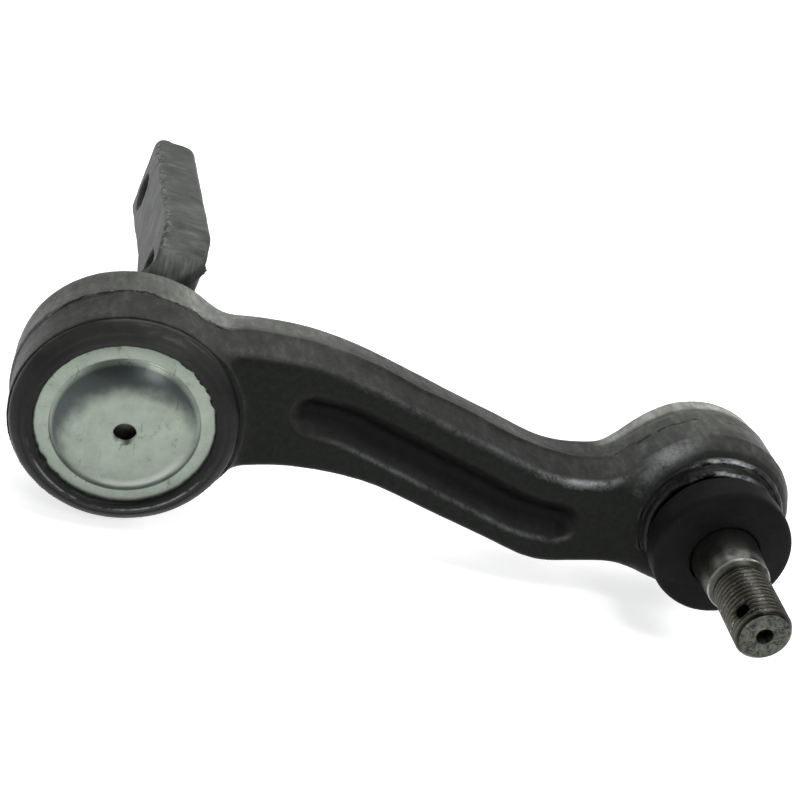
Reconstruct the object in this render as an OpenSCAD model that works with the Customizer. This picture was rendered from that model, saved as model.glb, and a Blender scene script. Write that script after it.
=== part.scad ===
// Steering idler arm with its frame bracket, closed pivot socket and ball stud.
// Millimetres. Origin: on the pivot axis, at the outer face of the cover plate.
// +X runs along the arm to the ball stud, the pivot and the stud lie along Y,
// the cover plate and the stud's thread face -Y, the bracket is behind at +Y.

/* [Arm forging] */
// Pivot axis to ball stud axis
arm_length = 151.2; // [145:0.2:160]
// Thickness of the arm along the pivot axis
arm_thickness = 23; // [20:0.5:26]
// Forging draft on the outer walls, degrees
draft = 6; // [3:0.5:8]
// Edge rounding of the arm
edge_r = 1.8; // [1:0.1:2.5]
// Height of the trimmed flash line
flash_height = 0.35; // [0.2:0.05:0.6]
// Width of the trimmed flash line
flash_width = 1.1; // [0.8:0.1:2]
// Crown of the upper edge above the pivot axis
crown = 23.7; // [21:0.2:25]
// Radius of the crown
crown_r = 88; // [76:1:100]
// Distance of the crown from the pivot axis
crown_x = 34; // [31:0.5:37]
// Fall of the arm's middle stretch, degrees
fall = 17.3; // [15.5:0.1:19]
// Radius of the upper hollow before the ball socket
hollow_r = 36; // [30:1:45]
// Arch of the lower edge below the pivot axis
arch = 7.8; // [5.5:0.1:9]
// Radius of the lower arch
arch_r = 70; // [60:1:85]
// Distance of the arch from the pivot axis
arch_x = 48.5; // [45:0.5:52]
// Radius of the lower belly before the ball socket
belly_r = 26; // [22:1:32]

/* [Arm pocket] */
// Depth of the lightening pocket in each face
pocket_depth = 4.6; // [3:0.2:6]
// Width of the pocket at the face
pocket_width = 10.8; // [9:0.2:12]
// Slope of the pocket's walls, degrees from upright
pocket_slope = 24; // [12:1:34]
// Start of the pocket along the arm
pocket_start = 44; // [42:0.5:48]
// Height of the pocket's start over the pivot axis
pocket_high = 9; // [8:0.1:10]
// End of the pocket along the arm
pocket_end = 113.4; // [108:0.5:115]

/* [Pivot socket] */
// Outer radius of the pivot socket
pivot_r = 27.8; // [27:0.1:29]
// Front of the forged wall, ahead of the parting plane
pivot_front = 13.1; // [12:0.1:14]
// Rear face of the socket, behind the parting plane
pivot_back = 13.2; // [12:0.1:14.5]
// Width of the step at the torn edge of the forged skin
skin_step = 0.55; // [0.3:0.05:0.9]
// Section radius of the rolled lip
lip_r = 1.4; // [1.1:0.1:1.7]
// Overlap of the lip on the cover plate
lip_overlap = 1.2; // [0.8:0.1:1.8]

/* [Cover plate] */
// Radius of the cover plate
cover_r = 22.5; // [21:0.1:24]
// Thickness of the cover plate
cover_thickness = 2.4; // [1.8:0.1:2.8]
// Radius of the dome's foot
dome_r = 18; // [16:0.1:18.8]
// Height of the dome over the flange
dome_height = 4; // [3:0.1:4.8]
// Fillet round the top of the dome
dome_fillet = 3; // [2:0.1:3.6]
// Core radius of the tapped grease hole
grease_r = 2.75; // [2.4:0.05:3.2]
// Thickness of the gasket under the cover
gasket_thickness = 0.8; // [0.5:0.1:1]

/* [Pivot bearing] */
// Journal radius of the spindle
journal_r = 11; // [9.5:0.1:12.5]
// Running clearance between journal and bushes
running_gap = 0.05; // [0.02:0.01:0.08]
// Wall of the bushes
bush_wall = 3; // [2:0.1:4]
// Flange radius of the bushes
bush_flange_r = 16.4; // [15.6:0.1:16.6]
// Flange thickness of the bushes
bush_flange = 1.8; // [1.2:0.1:2.4]
// Gap left for grease between the two bushes
grease_gap = 1.6; // [1:0.1:3]
// Depth of the cavity in front of the bushes, from the cover's seat
cavity_depth = 6; // [5:0.1:7]
// Radius of the cavity behind the cover
cavity_r = 19.6; // [18.6:0.1:20.6]
// Depth of the rear counterbore
rear_recess = 2.7; // [2:0.1:3.4]
// Play left between faces that run on each other
face_gap = 0.05; // [0.02:0.01:0.1]

/* [Spindle and its hardware] */
// Thread radius of the spindle end
spindle_thread_r = 9.5; // [8:0.1:10]
// Radius of the rear thrust washer
rear_washer_r = 15.6; // [15:0.1:16]
// Thickness of the front thrust washer
front_washer_t = 1.8; // [1.4:0.1:2.2]
// Radius of the front thrust washer
front_washer_r = 16; // [15:0.1:17]
// Sheet thickness of the preload spring
spring_t = 1; // [0.8:0.1:1.3]
// Height of the preload spring's cone
spring_cone = 0.9; // [0.5:0.1:1.2]
// Width across the flats of the spindle nut
nut_flats = 24; // [22:0.5:26]
// Thickness of the spindle nut
nut_t = 3.6; // [3:0.1:4]
// Height of the seal between socket and bracket
seal_gap = 2.5; // [2:0.1:3]

/* [Frame bracket] */
// Turn of the bracket about the pivot axis, degrees
bracket_turn = 8; // [4:0.5:12]
// Lean of the bracket plate away from the pivot axis, degrees
bracket_lean = 2; // [0:0.5:4]
// Thickness of the plate
plate_t = 12; // [10:0.2:12.6]
// Offset of the drilled face from the pivot axis
plate_offset = 1.5; // [0:0.1:3]
// Reach of the plate behind the hub
plate_reach = 73.6; // [70:0.2:80]
// Upper edge of the plate over the pivot axis, at the hub
plate_top = 38; // [36:0.2:40]
// Upper edge of the plate at its end
plate_top_end = 34; // [32:0.2:36]
// Lower edge of the plate at its end
plate_low_end = 11.6; // [9:0.2:13]
// Radius of the plate's rounded end, seen from above
nose_r = 6.4; // [6.3:0.1:7.5]
// Lower edge of the plate near the hub
plate_low = 15; // [13:0.2:17]
// Radius of the bolt holes
bolt_r = 5.2; // [4.8:0.05:5.5]
// Front bolt hole behind the hub's face
bolt_front = 8.4; // [8.2:0.1:9.5]
// Rear bolt hole ahead of the plate's end
bolt_end = 14.4; // [13:0.1:17]
// Height of the rear bolt hole over the pivot axis
bolt_height = 22.1; // [21:0.1:23]
// Rise of the front bolt hole over the rear one
bolt_rise = 0.6; // [0:0.1:3]
// Radius of the hub disc behind the socket
hub_r = 20.4; // [20.2:0.1:21]
// Thickness of the hub disc
hub_t = 3.6; // [3:0.1:4]

/* [Ball socket] */
// Outer radius of the ball socket at its flash line
ball_socket_r = 23.1; // [22.4:0.1:24]
// Radius of the narrower rear band
rear_band_r = 21.8; // [21:0.1:22.1]
// Front rim ahead of the parting plane
ball_front = 15.5; // [14.5:0.1:16.5]
// Rear face behind the parting plane
ball_back = 12.4; // [11.8:0.1:13]
// Flash line of the socket, behind its own parting
ball_flash = -8.8; // [-9.5:0.1:-8]
// Radius of the front rim
rim_r = 17.9; // [17:0.1:18.6]

/* [Ball stud] */
// Ball radius
ball_r = 11.5; // [11:0.1:12]
// Ball centre ahead of the parting plane
ball_y = 3; // [2.6:0.1:3.6]
// Neck radius between ball and taper
neck_r = 7.4; // [6.8:0.1:7.8]
// Taper radius at its small end
taper_small_r = 7.9; // [7.6:0.05:8.2]
// Taper on the diameter, one part in this many
taper_ratio = 8; // [7:0.5:12]
// Length of the taper
taper_length = 17; // [15:0.5:19]
// Small end of the taper ahead of the parting plane
taper_end = 41.8; // [40:0.1:44]
// Major radius of the stud's thread
thread_r = 7.144; // [6.9:0.01:7.4]
// Length from the taper to the tip
thread_length = 20.4; // [19:0.1:23]
// Cotter hole radius
cotter_r = 1.8; // [1.4:0.1:2]
// Cotter hole from the tip
cotter_inset = 4.5; // [4:0.1:6]
// Angle of the cotter hole round the stud, degrees
cotter_angle = 150; // [0:5:180]
// Radius of the centre drilling in the tip
centre_r = 2; // [1.4:0.1:2.4]

/* [Ball bearing parts] */
// Running clearance of ball, liner and seats
ball_gap = 0.05; // [0.03:0.01:0.08]
// Thickness of the bearing liner
liner_t = 1; // [0.8:0.1:1.2]
// Outer radius of the seats
seat_r = 16.4; // [15.8:0.1:17]
// Height of the seat spring
seat_spring_h = 1.3; // [1:0.1:1.6]
// Radius of the end plate
end_plate_r = 18.6; // [18:0.1:19]
// Thickness of the end plate
end_plate_t = 2.2; // [1.8:0.1:2.4]
// Overlap of the rear rolled edge on the end plate
crimp_overlap = 1.2; // [0.8:0.1:1.6]

/* [Dust boot] */
// Largest radius of the boot
boot_r = 18.1; // [17.2:0.1:18.8]
// Boot height from the rim to its front face
boot_height = 13.6; // [12.5:0.1:14.5]
// Wall of the boot
boot_wall = 1.8; // [1.4:0.1:2.2]
// Radius of the neck ring
neck_ring_r = 10.6; // [10.2:0.1:11.4]

/* [Hidden] */
$fn = 64;
half = arm_thickness/2;
round_n = 4;
cover_seat = pivot_front - 0.8;
cover_back = cover_seat + gasket_thickness;
cover_front = cover_back + cover_thickness;
cavity_floor = cover_seat - cavity_depth;
seat_clear = 0.1;
bush_r = journal_r + running_gap + bush_wall;
rear_floor = pivot_back - rear_recess;
sleeve = (cavity_floor + rear_floor - grease_gap)/2;
journal_front = cavity_floor + bush_flange + face_gap;
washer_front = journal_front + front_washer_t;
spring_front = washer_front + spring_t + spring_cone;
nut_front = spring_front + nut_t;
hub_face = pivot_back + seal_gap;
hub_back = hub_face + hub_t;
rear_washer_t = hub_face - rear_floor - bush_flange - face_gap;
// The plate is laid out from the cover's face, as its drawing datum.
datum_back = cover_front;
hub_v = hub_face + datum_back;
plate_end = hub_v + plate_reach;
bolt_pitch = plate_reach - bolt_front - bolt_end;
neck_corner = 1.2;
liner_in = ball_r + ball_gap;
liner_out = liner_in + liner_t;
liner_ahead = 7;
liner_behind = 8.2;
seat_in = liner_out + ball_gap;
seat_half = 0.5;
front_seat_len = 7.6;
rear_seat_len = 10.4;
seat_bore = seat_r + seat_clear;
rear_seat_y = rear_seat_len - ball_y;
spring_y = rear_seat_y + seat_spring_h;
end_plate_y = spring_y + end_plate_t;
plate_bore = end_plate_r + seat_clear;
boot_face = ball_front + boot_height;
taper_big_r = taper_small_r + taper_length/(2*taper_ratio);
taper_start = taper_end - taper_length;
tip = taper_end + thread_length;
boot_lip = 1.1;
lip_gap = 0.15;
throat_r = 13.2;
bead_r = 13.3;

function taper_r(y) = taper_small_r + (taper_end - y)/(2*taper_ratio);
function polar(r, a) = [r*cos(a), r*sin(a)];
function arc(c, r, a0, a1, n=10) = [for (i=[0:n]) c + polar(r, a0 + (a1 - a0)*i/n)];

// Upper edge: crown, straight fall, hollow. Lower edge: arch, straight fall, belly.
crown_c = [crown_x, crown - crown_r];
crown_out = crown_c + polar(crown_r, 90 - fall);
hollow_x = arm_length - 37.2;
hollow_in_x = hollow_x - hollow_r*sin(fall);
hollow_in = [hollow_in_x, crown_out[1] - (hollow_in_x - crown_out[0])*tan(fall)];
hollow_c = [hollow_x, hollow_in[1] + hollow_r*cos(fall)];
hollow_turn = 31;
arch_c = [arch_x, -arch - arch_r];
arch_out = arch_c + polar(arch_r, 90 - fall);
belly_x = arm_length - 38.7;
belly_in_x = belly_x - belly_r*sin(fall);
belly_in = [belly_in_x, arch_out[1] - (belly_in_x - arch_out[0])*tan(fall)];
belly_c = [belly_x, belly_in[1] + belly_r*cos(fall)];
belly_turn = 11;
belly_out = belly_c + polar(belly_r, -90 + belly_turn);
inset = 5;

// Pocket's middle line: a short level end, a bend, the fall, a bend, a level end.
pocket_tip = 4;
// Straight stretches run on into the bends beside them, a hair inside their surface.
lap = 0.3;
step = 0.02;
fall_pocket = 18.4;
pocket_turn = fall_pocket - pocket_tip;
pocket_bend_r = 34;
pocket_tip_len = 4.5;
pocket_a = [pocket_start, pocket_high];
pocket_a2 = pocket_a + polar(pocket_tip_len, -pocket_tip);
pocket_ca = pocket_a2 - polar(pocket_bend_r, 90 - pocket_tip);
pocket_b = pocket_ca + polar(pocket_bend_r, 90 - fall_pocket);
pocket_chord = 2*pocket_bend_r*(sin(fall_pocket) - sin(pocket_tip)) + 2*pocket_tip_len*cos(pocket_tip);
pocket_run = (pocket_end - pocket_start - pocket_chord)/cos(fall_pocket);
pocket_b2 = pocket_b + polar(pocket_run, -fall_pocket);
pocket_cb = pocket_b2 + polar(pocket_bend_r, 90 - fall_pocket);
pocket_c = pocket_cb - polar(pocket_bend_r, 90 - pocket_tip);
pocket_d = pocket_c + polar(pocket_tip_len, -pocket_tip);

// Section of a forged edge: u is outward from the parting outline, v across it.
function edge_half(t, s) = let (cv = t - edge_r,
    cu = -flash_height - edge_r*cos(draft) - (cv + edge_r*sin(draft) - flash_width/2)*tan(draft))
    [for (i=[0:round_n]) let (k = s > 0 ? i : round_n - i,
        a = draft + (90 - draft)*k/round_n) [cu + edge_r*cos(a), s*(cv + edge_r*sin(a))]];
function edge_section(t) = concat([[-inset - 3, -t]], edge_half(t, -1),
    [[-flash_height, -flash_width/2], [0, -flash_width/2 + 0.15], [0, flash_width/2 - 0.15],
     [-flash_height, flash_width/2]], edge_half(t, 1), [[-inset - 3, t]]);

// Everything is laid out from the parting plane and set back to the cover's face.
module from_cover() {
    translate([0, cover_front + dome_height, 0]) children();
}
// Turned piece about the Y axis: the 2D outline is drawn with radius and Y.
module turned() {
    rotate([-90, 0, 0]) rotate_extrude($fn=96) children();
}
module disc_y(r, y0, y1, fn=64) {
    translate([0, y0, 0]) rotate([-90, 0, 0]) cylinder(r=r, h=y1 - y0, $fn=fn);
}
module at_ball() {
    translate([arm_length, 0, 0]) children();
}

// A curved stretch of edge about the centre c, with the wall on the side given.
module edge_arc(c, r, a0, a1, side) {
    translate([c[0], 0, c[1]]) rotate([90, 0, 0]) rotate([0, 0, min(a0, a1)])
        rotate_extrude(angle=abs(a1 - a0), $fn=180) translate([r, 0])
            scale_side(side) polygon(edge_section(half));
}
module scale_side(side) {
    if (side > 0) children();
    else mirror([1, 0]) children();
}
module edge_line(p, q, side) {
    d = q - p;
    a = atan2(d[1], d[0]);
    translate([p[0], 0, p[1]]) rotate([0, -a, 0]) translate([-lap, 0, 0]) rotate([90, 0, 90])
        linear_extrude(norm(d) + 2*lap) rotate(side > 0 ? 90 : -90) translate([-step, 0])
            polygon(edge_section(half));
}

// The core lies inside the edges, so its corners stay clear of their joints.
module arm_core() {
    up = concat(arc(crown_c, crown_r - inset, 110, 91.3 - fall),
        arc(hollow_c, hollow_r + inset, 272 - fall, 271.5 + hollow_turn));
    low = concat(arc(arch_c, arch_r + inset, 112, 91.3 - fall),
        arc(belly_c, belly_r - inset, 272 - fall, 268.5 + belly_turn));
    rotate([90, 0, 0]) linear_extrude(arm_thickness - 2*step, center=true)
        polygon(concat(up, [[arm_length - 8, 4], [arm_length - 8, -ball_socket_r + inset + 1]],
            [for (i=[len(low) - 1:-1:0]) low[i]]));
}

module arm_edges() {
    edge_arc(crown_c, crown_r, 90 - fall, 107, 1);
    edge_line(crown_out, hollow_in, 1);
    edge_arc(hollow_c, hollow_r, 270 - fall, 270 + hollow_turn, -1);
    edge_arc(arch_c, arch_r, 90 - fall, 108, -1);
    edge_line(arch_out, belly_in, -1);
    edge_arc(belly_c, belly_r, 270 - fall, 270 + belly_turn, 1);
    edge_line(belly_out, belly_out + [20.5, 20.5*tan(belly_turn)], -1);
}

// Lightening pocket: a rounded channel swept along the arm's middle line.
function pocket_side(w, d) = let (foot = w - d*tan(pocket_slope))
    [[w + 1.2, -2], [w + 0.35, -0.3], [w - 0.25, 0.35], [foot + 0.75, d - 1.9],
     [foot - 0.1, d - 0.8], [foot - 1.1, d - 0.2], [foot - 2.2, d]];
module pocket_channel(s) {
    side = pocket_side(pocket_width/2 - s, pocket_depth - s);
    polygon(concat(side, [for (i=[len(side) - 1:-1:0]) [-side[i][0], side[i][1]]]));
}
module pocket_leg(p, a, len) {
    translate([p[0], 0, p[1]]) rotate([0, -a, 0]) translate([-lap, 0, 0])
        rotate([0, 90, 0]) linear_extrude(len + 2*lap) pocket_channel(step);
}
module pocket_end(p) {
    translate([p[0], 0, p[1]]) rotate([-90, 0, 0]) rotate_extrude($fn=48)
        polygon(concat([[0, -2]], pocket_side(pocket_width/2, pocket_depth), [[0, pocket_depth]]));
}
module pocket_bend(c, a0) {
    translate([c[0], 0, c[1]]) rotate([90, 0, 0]) rotate([0, 0, a0])
        rotate_extrude(angle=pocket_turn, $fn=180) translate([pocket_bend_r, 0])
            mirror([0, 1]) pocket_channel(0);
}
module pocket() {
    pocket_end(pocket_a);
    pocket_leg(pocket_a, -pocket_tip, pocket_tip_len);
    pocket_bend(pocket_ca, 90 - fall_pocket);
    pocket_leg(pocket_b, -fall_pocket, pocket_run);
    pocket_bend(pocket_cb, 270 - fall_pocket);
    pocket_leg(pocket_c, -pocket_tip, pocket_tip_len);
    pocket_end(pocket_d);
}

module pivot_body() {
    skin = pivot_r - skin_step;
    back = pivot_r - 0.4;
    lip_c = [cover_r - lip_overlap + lip_r, -cover_front + 0.2];
    crest = lip_c[1] - lip_r;
    turned() {
        polygon([[0, pivot_back], [back - 1.6, pivot_back],
            [back - 0.5, pivot_back - 0.45], [back, pivot_back - 1.5],
            [pivot_r, flash_width/2], [pivot_r + flash_height, flash_width/2 - 0.15],
            [pivot_r + flash_height, -flash_width/2 + 0.15], [pivot_r, -flash_width/2],
            [pivot_r - 0.1, -pivot_front], [skin, -pivot_front],
            [skin - 0.4, crest + 2.5], [skin - 1.4, crest + 1.5], [lip_c[0] + 1.9, crest + 0.6],
            [lip_c[0] + 0.5, crest + 0.08], [lip_c[0], crest],
            [lip_c[0], -cover_front], [0, -cover_front]]);
        translate(lip_c) circle(r=lip_r, $fn=40);
    }
}

module ball_body() {
    r = ball_socket_r;
    f = ball_front;
    flash_r = r + flash_height - 0.15;
    at_ball() turned() polygon([[0, ball_back], [rear_band_r - 1.5, ball_back],
        [rear_band_r - 0.5, ball_back - 0.4], [rear_band_r - 0.1, ball_back - 1.3],
        [rear_band_r + 0.1, 5.4], [r - 1.1, 4.6], [r - 0.9, 3.8],
        [r - 0.15, ball_flash + 0.6], [flash_r, ball_flash + 0.4], [flash_r, ball_flash - 0.4],
        [r - 0.2, ball_flash - 0.6], [r - 0.7, ball_flash - 2.6],
        [r - 1.8, ball_flash - 4.6], [rim_r + 1.9, -f + 1.1],
        [rim_r + 1.3, -f + 0.5], [rim_r + 0.7, -f + 0.3], [rim_r + 0.2, -f + 0.7], [rim_r - 0.3, -f + 0.9],
        [rim_r - 0.7, -f + 0.4], [rim_r - 1.3, -f], [rim_r - 2.2, -f], [0, -f]]);
}

module pivot_bore() {
    disc_y(cavity_r, -cover_seat - 0.01, -cavity_floor, 96);
    disc_y(cover_r + seat_clear, -cover_front, -cover_seat, 96);
    disc_y(cover_r - lip_overlap + 0.02, -cover_front - 6, -cover_front + 0.5, 96);
    disc_y(bush_r, -cavity_floor - 1, rear_floor + 1);
    disc_y(bush_flange_r + seat_clear, rear_floor, pivot_back + 1);
    turned() translate([hub_r - 2.3, pivot_back]) circle(r=1.2, $fn=24);
}

module ball_bore() {
    at_ball() {
        disc_y(seat_bore, -ball_y - front_seat_len, end_plate_y);
        disc_y(plate_bore, spring_y, end_plate_y);
        disc_y(plate_bore - crimp_overlap, end_plate_y - 0.01, ball_back + 1);
        turned() polygon([[0, -ball_front - 1], [throat_r + 1.3, -ball_front - 1],
            [throat_r + 1.3, -ball_front + 1.2], [throat_r, -ball_front + 1.2], [11.6, -ball_front + 2.6],
            [11.6, -ball_y - front_seat_len + 1], [0, -ball_y - front_seat_len + 1]]);
    }
}

module arm_web() {
    difference() {
        arm_core();
        translate([0, -half, 0]) pocket();
        mirror([0, 1, 0]) translate([0, -half, 0]) pocket();
    }
}

module idler_arm() {
    color([0.33, 0.34, 0.32]) from_cover() difference() {
        union() {
            arm_web();
            pivot_body();
            ball_body();
            arm_edges();
        }
        pivot_bore();
        ball_bore();
    }
}

module pivot_cover_plate() {
    t = cover_thickness;
    top = cover_front + dome_height;
    f = dome_fillet;
    bulge = 0.3;
    edge = [dome_r - 0.7 - f, -top + bulge + f];
    color([0.73, 0.76, 0.71]) from_cover() difference() {
        turned() {
            polygon([[0, -top], [edge[0] - 4, -top + 0.14], [edge[0], -top + bulge],
                edge, [edge[0] + f, edge[1]], [edge[0] + f, -cover_front - 0.9],
                [edge[0] + f + 0.3, -cover_front - 0.3], [dome_r + 0.3, -cover_front],
                [cover_r, -cover_front], [cover_r, -cover_back],
                [dome_r - t, -cover_back], [dome_r - t - 0.6, -top + t + 1.6],
                [dome_r - t - 2.2, -top + t], [0, -top + t]]);
            translate(edge) intersection() {
                circle(r=f, $fn=48);
                translate([0, -2*f]) square(2*f);
            }
        }
        disc_y(grease_r, -top - 1, -cover_back);
    }
}

module cover_gasket() {
    color([0.2, 0.18, 0.16]) from_cover() difference() {
        disc_y(cover_r - 0.1, -cover_back, -cover_seat, 96);
        disc_y(cavity_r, -cover_back - 1, -cover_seat + 1, 96);
    }
}

module bush(flip) {
    y0 = flip ? rear_floor - sleeve : -cavity_floor;
    y1 = flip ? rear_floor : -cavity_floor + sleeve;
    f0 = flip ? rear_floor : -cavity_floor - bush_flange;
    difference() {
        union() {
            disc_y(bush_r, y0, y1);
            disc_y(bush_flange_r, f0, f0 + bush_flange);
        }
        disc_y(journal_r + running_gap, y0 - 5, y1 + 5);
    }
}
module front_bush() {
    color([0.72, 0.55, 0.3]) from_cover() bush(false);
}
module rear_bush() {
    color([0.72, 0.55, 0.3]) from_cover() bush(true);
}

module dust_seal() {
    r = hub_r - 2.3;
    color([0.1, 0.1, 0.1]) from_cover() turned() {
        translate([r, pivot_back]) circle(r=1.15, $fn=24);
        polygon([[r - 1, pivot_back + 0.02], [r + 1, pivot_back + 0.02],
            [r + 1.6, hub_face - 0.1], [r + 0.6, hub_face - 0.1], [r, pivot_back + 1.3],
            [r - 0.6, hub_face - 0.1], [r - 1.6, hub_face - 0.1]]);
    }
}

module washer_y(r, bore, y0, t) {
    difference() {
        disc_y(r, y0, y0 + t);
        disc_y(bore, y0 - 1, y0 + t + 1);
    }
}
module rear_thrust_washer() {
    color([0.55, 0.55, 0.56]) from_cover()
        washer_y(rear_washer_r, journal_r + seat_clear, hub_face - rear_washer_t, rear_washer_t);
}
module front_thrust_washer() {
    color([0.55, 0.55, 0.56]) from_cover()
        washer_y(front_washer_r, spindle_thread_r + seat_clear, -washer_front, front_washer_t);
}
module preload_spring() {
    bore = spindle_thread_r + 0.3;
    rim = front_washer_r - 1;
    color([0.4, 0.42, 0.45]) from_cover() turned()
        polygon([[rim, -washer_front], [rim, -washer_front - spring_t], [bore, -spring_front],
            [bore, -spring_front + spring_t]]);
}
module spindle_nut() {
    corner_r = nut_flats/sqrt(3);
    color([0.6, 0.6, 0.58]) from_cover() difference() {
        intersection() {
            disc_y(corner_r, -nut_front, -spring_front, 6);
            turned() polygon([[0, -spring_front], [corner_r, -spring_front],
                [corner_r, -nut_front + 0.9], [nut_flats/2 - 0.2, -nut_front], [0, -nut_front]]);
        }
        disc_y(spindle_thread_r, -nut_front - 1, -spring_front + 1);
    }
}

// The bracket's plate frame: u across the plate, v along the pivot, w upward.
module plate_frame() {
    translate([0, -datum_back, 0]) rotate([0, bracket_turn, 0]) rotate([0, 0, bracket_lean]) children();
}
module plate_side() {
    corner = 1.2;
    polygon(concat([[hub_v + 0.6, 30.6], [hub_v + 2.3, 33.8], [hub_v + 4.6, plate_top - 1.5],
        [hub_v + 9, plate_top + 0.5], [plate_end - 2.6, plate_top_end + 1]],
        arc([plate_end - corner, plate_top_end - corner], corner, 62, 0, 5),
        arc([plate_end - corner - 1.8, plate_low_end + corner], corner, 0, -90, 6),
        arc([hub_v + 29, plate_low - 22], 22, 88, 168, 8),
        [[hub_v + 6, -12], [hub_v + 0.6, -12]]));
}
// The plate's end is a round nose, a little wider than the plate is thick.
module plate_plan() {
    tip_y = plate_end - nose_r;
    translate([plate_t/2 - plate_offset, 0]) {
        translate([-plate_t, 0]) square([2*plate_t, tip_y + 1]);
        translate([0, tip_y]) circle(r=nose_r, $fn=64);
    }
}
// Section of the plate with its rounded upper edges.
module plate_section() {
    r = 2.2;
    w = plate_t - 2*r;
    translate([-plate_offset + r, 0]) {
        translate([-r, r - 30]) square([plate_t, plate_top + 30 - 2*r]);
        square([w, plate_top]);
        for (x=[0, w]) translate([x, plate_top - r]) circle(r=r, $fn=32);
    }
}
module bracket_plate() {
    lean_top = atan2(plate_top - plate_top_end, plate_reach);
    plate_frame() intersection() {
        rotate([90, 0, 90]) translate([0, 0, -plate_offset - 1]) linear_extrude(plate_t + 2) plate_side();
        translate([0, 0, -20]) linear_extrude(70) plate_plan();
        translate([0, hub_v - 2, 0]) rotate([-lean_top, 0, 0]) rotate([90, 0, 180]) mirror([1, 0, 0])
            linear_extrude(plate_reach + 8) plate_section();
    }
}
// The hub's wall rises from its left side to the plate's far corner, sloping back.
module bracket_neck() {
    side = plate_t - plate_offset - neck_corner;
    plate_frame() hull() {
        translate([-7.7, hub_v, 8.2]) {
            disc_y(0.8, 0.5, 0.8, 24);
            disc_y(hub_r - 11.5, 1.8, 2.4);
        }
        translate([side + 1.3, hub_v, plate_top - 6.4]) disc_y(neck_corner, 0.3, 0.6, 24);
        translate([side - 0.2, hub_v, plate_top - 2.8]) disc_y(neck_corner, 2.2, 3, 24);
    }
}
module bracket_hub() {
    b = hub_back;
    turned() polygon([[0, hub_face], [hub_r - 0.8, hub_face], [hub_r, hub_face + 0.8],
        [hub_r, b - 1.2], [hub_r - 1.2, b], [16, b + 0.9], [13.4, b + 3],
        [11.5, b + 8], [10.5, b + 14], [9, b + 15.5], [0, b + 15.5]]);
    disc_y(journal_r, -journal_front, hub_face + 1);
    disc_y(spindle_thread_r, -nut_front - 0.2, -journal_front + 1);
}
module bolt_holes() {
    for (i=[0:1])
        translate([-30, hub_v + bolt_front + i*bolt_pitch, bolt_height + (1 - i)*bolt_rise])
            rotate([0, 90, 0]) cylinder(r=bolt_r, h=60);
}
module frame_bracket() {
    color([0.5, 0.5, 0.48]) from_cover() difference() {
        union() {
            bracket_plate();
            bracket_neck();
            bracket_hub();
        }
        plate_frame() bolt_holes();
    }
}

module ball_stud() {
    flat = sqrt(ball_r*ball_r - 5*5);
    neck_y = ball_y + sqrt(ball_r*ball_r - neck_r*neck_r);
    relief = thread_r - 0.75;
    color([0.42, 0.42, 0.4]) from_cover() at_ball() difference() {
        union() {
            intersection() {
                translate([0, -ball_y, 0]) rotate([-90, 0, 0]) sphere(r=ball_r, $fn=72);
                disc_y(ball_r + 1, -ball_y - ball_r, -ball_y + flat);
            }
            turned() polygon([[0, -ball_y], [neck_r, -ball_y], [neck_r, -neck_y],
                [neck_r, -neck_y - 3], [neck_r + 0.3, -taper_start + 3.2],
                [taper_big_r - 0.5, -taper_start + 0.6], [taper_big_r, -taper_start],
                [taper_small_r, -taper_end], [taper_small_r - 0.35, -taper_end - 0.35],
                [relief, -taper_end - 0.7], [relief, -taper_end - 1.6],
                [thread_r, -taper_end - 2.3], [thread_r, -tip + 0.95],
                [thread_r - 0.9, -tip], [0, -tip]]);
        }
        rotate([0, -cotter_angle, 0]) translate([-20, -tip + cotter_inset, 0])
            rotate([0, 90, 0]) cylinder(r=cotter_r, h=40, $fn=32);
        turned() polygon([[0, -tip - 0.1], [centre_r + 0.06, -tip - 0.1], [centre_r, -tip],
            [0.9, -tip + (centre_r - 0.9)*1.73], [0.9, -tip + 4.4], [0, -tip + 4.9]]);
    }
}

module bearing_liner() {
    color([0.85, 0.83, 0.75]) from_cover() at_ball() translate([0, -ball_y, 0]) difference() {
        intersection() {
            rotate([-90, 0, 0]) sphere(r=liner_out, $fn=72);
            disc_y(liner_out + 1, -liner_ahead, liner_behind);
        }
        rotate([-90, 0, 0]) sphere(r=liner_in, $fn=72);
    }
}
module front_seat() {
    color([0.9, 0.88, 0.82]) from_cover() at_ball() translate([0, -ball_y, 0]) difference() {
        disc_y(seat_r, -front_seat_len, -seat_half);
        rotate([-90, 0, 0]) sphere(r=seat_in, $fn=72);
    }
}
module rear_seat() {
    color([0.9, 0.88, 0.82]) from_cover() at_ball() translate([0, -ball_y, 0]) difference() {
        disc_y(seat_r, seat_half, rear_seat_len);
        rotate([-90, 0, 0]) sphere(r=seat_in, $fn=72);
    }
}
module seat_spring() {
    rim = seat_r - 0.6;
    color([0.4, 0.42, 0.45]) from_cover() at_ball() turned()
        polygon([[rim, rear_seat_y], [rim, rear_seat_y + 0.8], [9.4, spring_y], [9.4, spring_y - 0.8]]);
}
module socket_end_plate() {
    y1 = end_plate_y;
    color([0.66, 0.68, 0.64]) from_cover() at_ball() difference() {
        turned() polygon([[0, spring_y], [end_plate_r, spring_y], [end_plate_r, y1],
            [end_plate_r - 4.6, y1], [end_plate_r - 6.2, y1 + 1], [0, y1 + 1]]);
        disc_y(grease_r, spring_y - 1, y1 + 2);
    }
}

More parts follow.
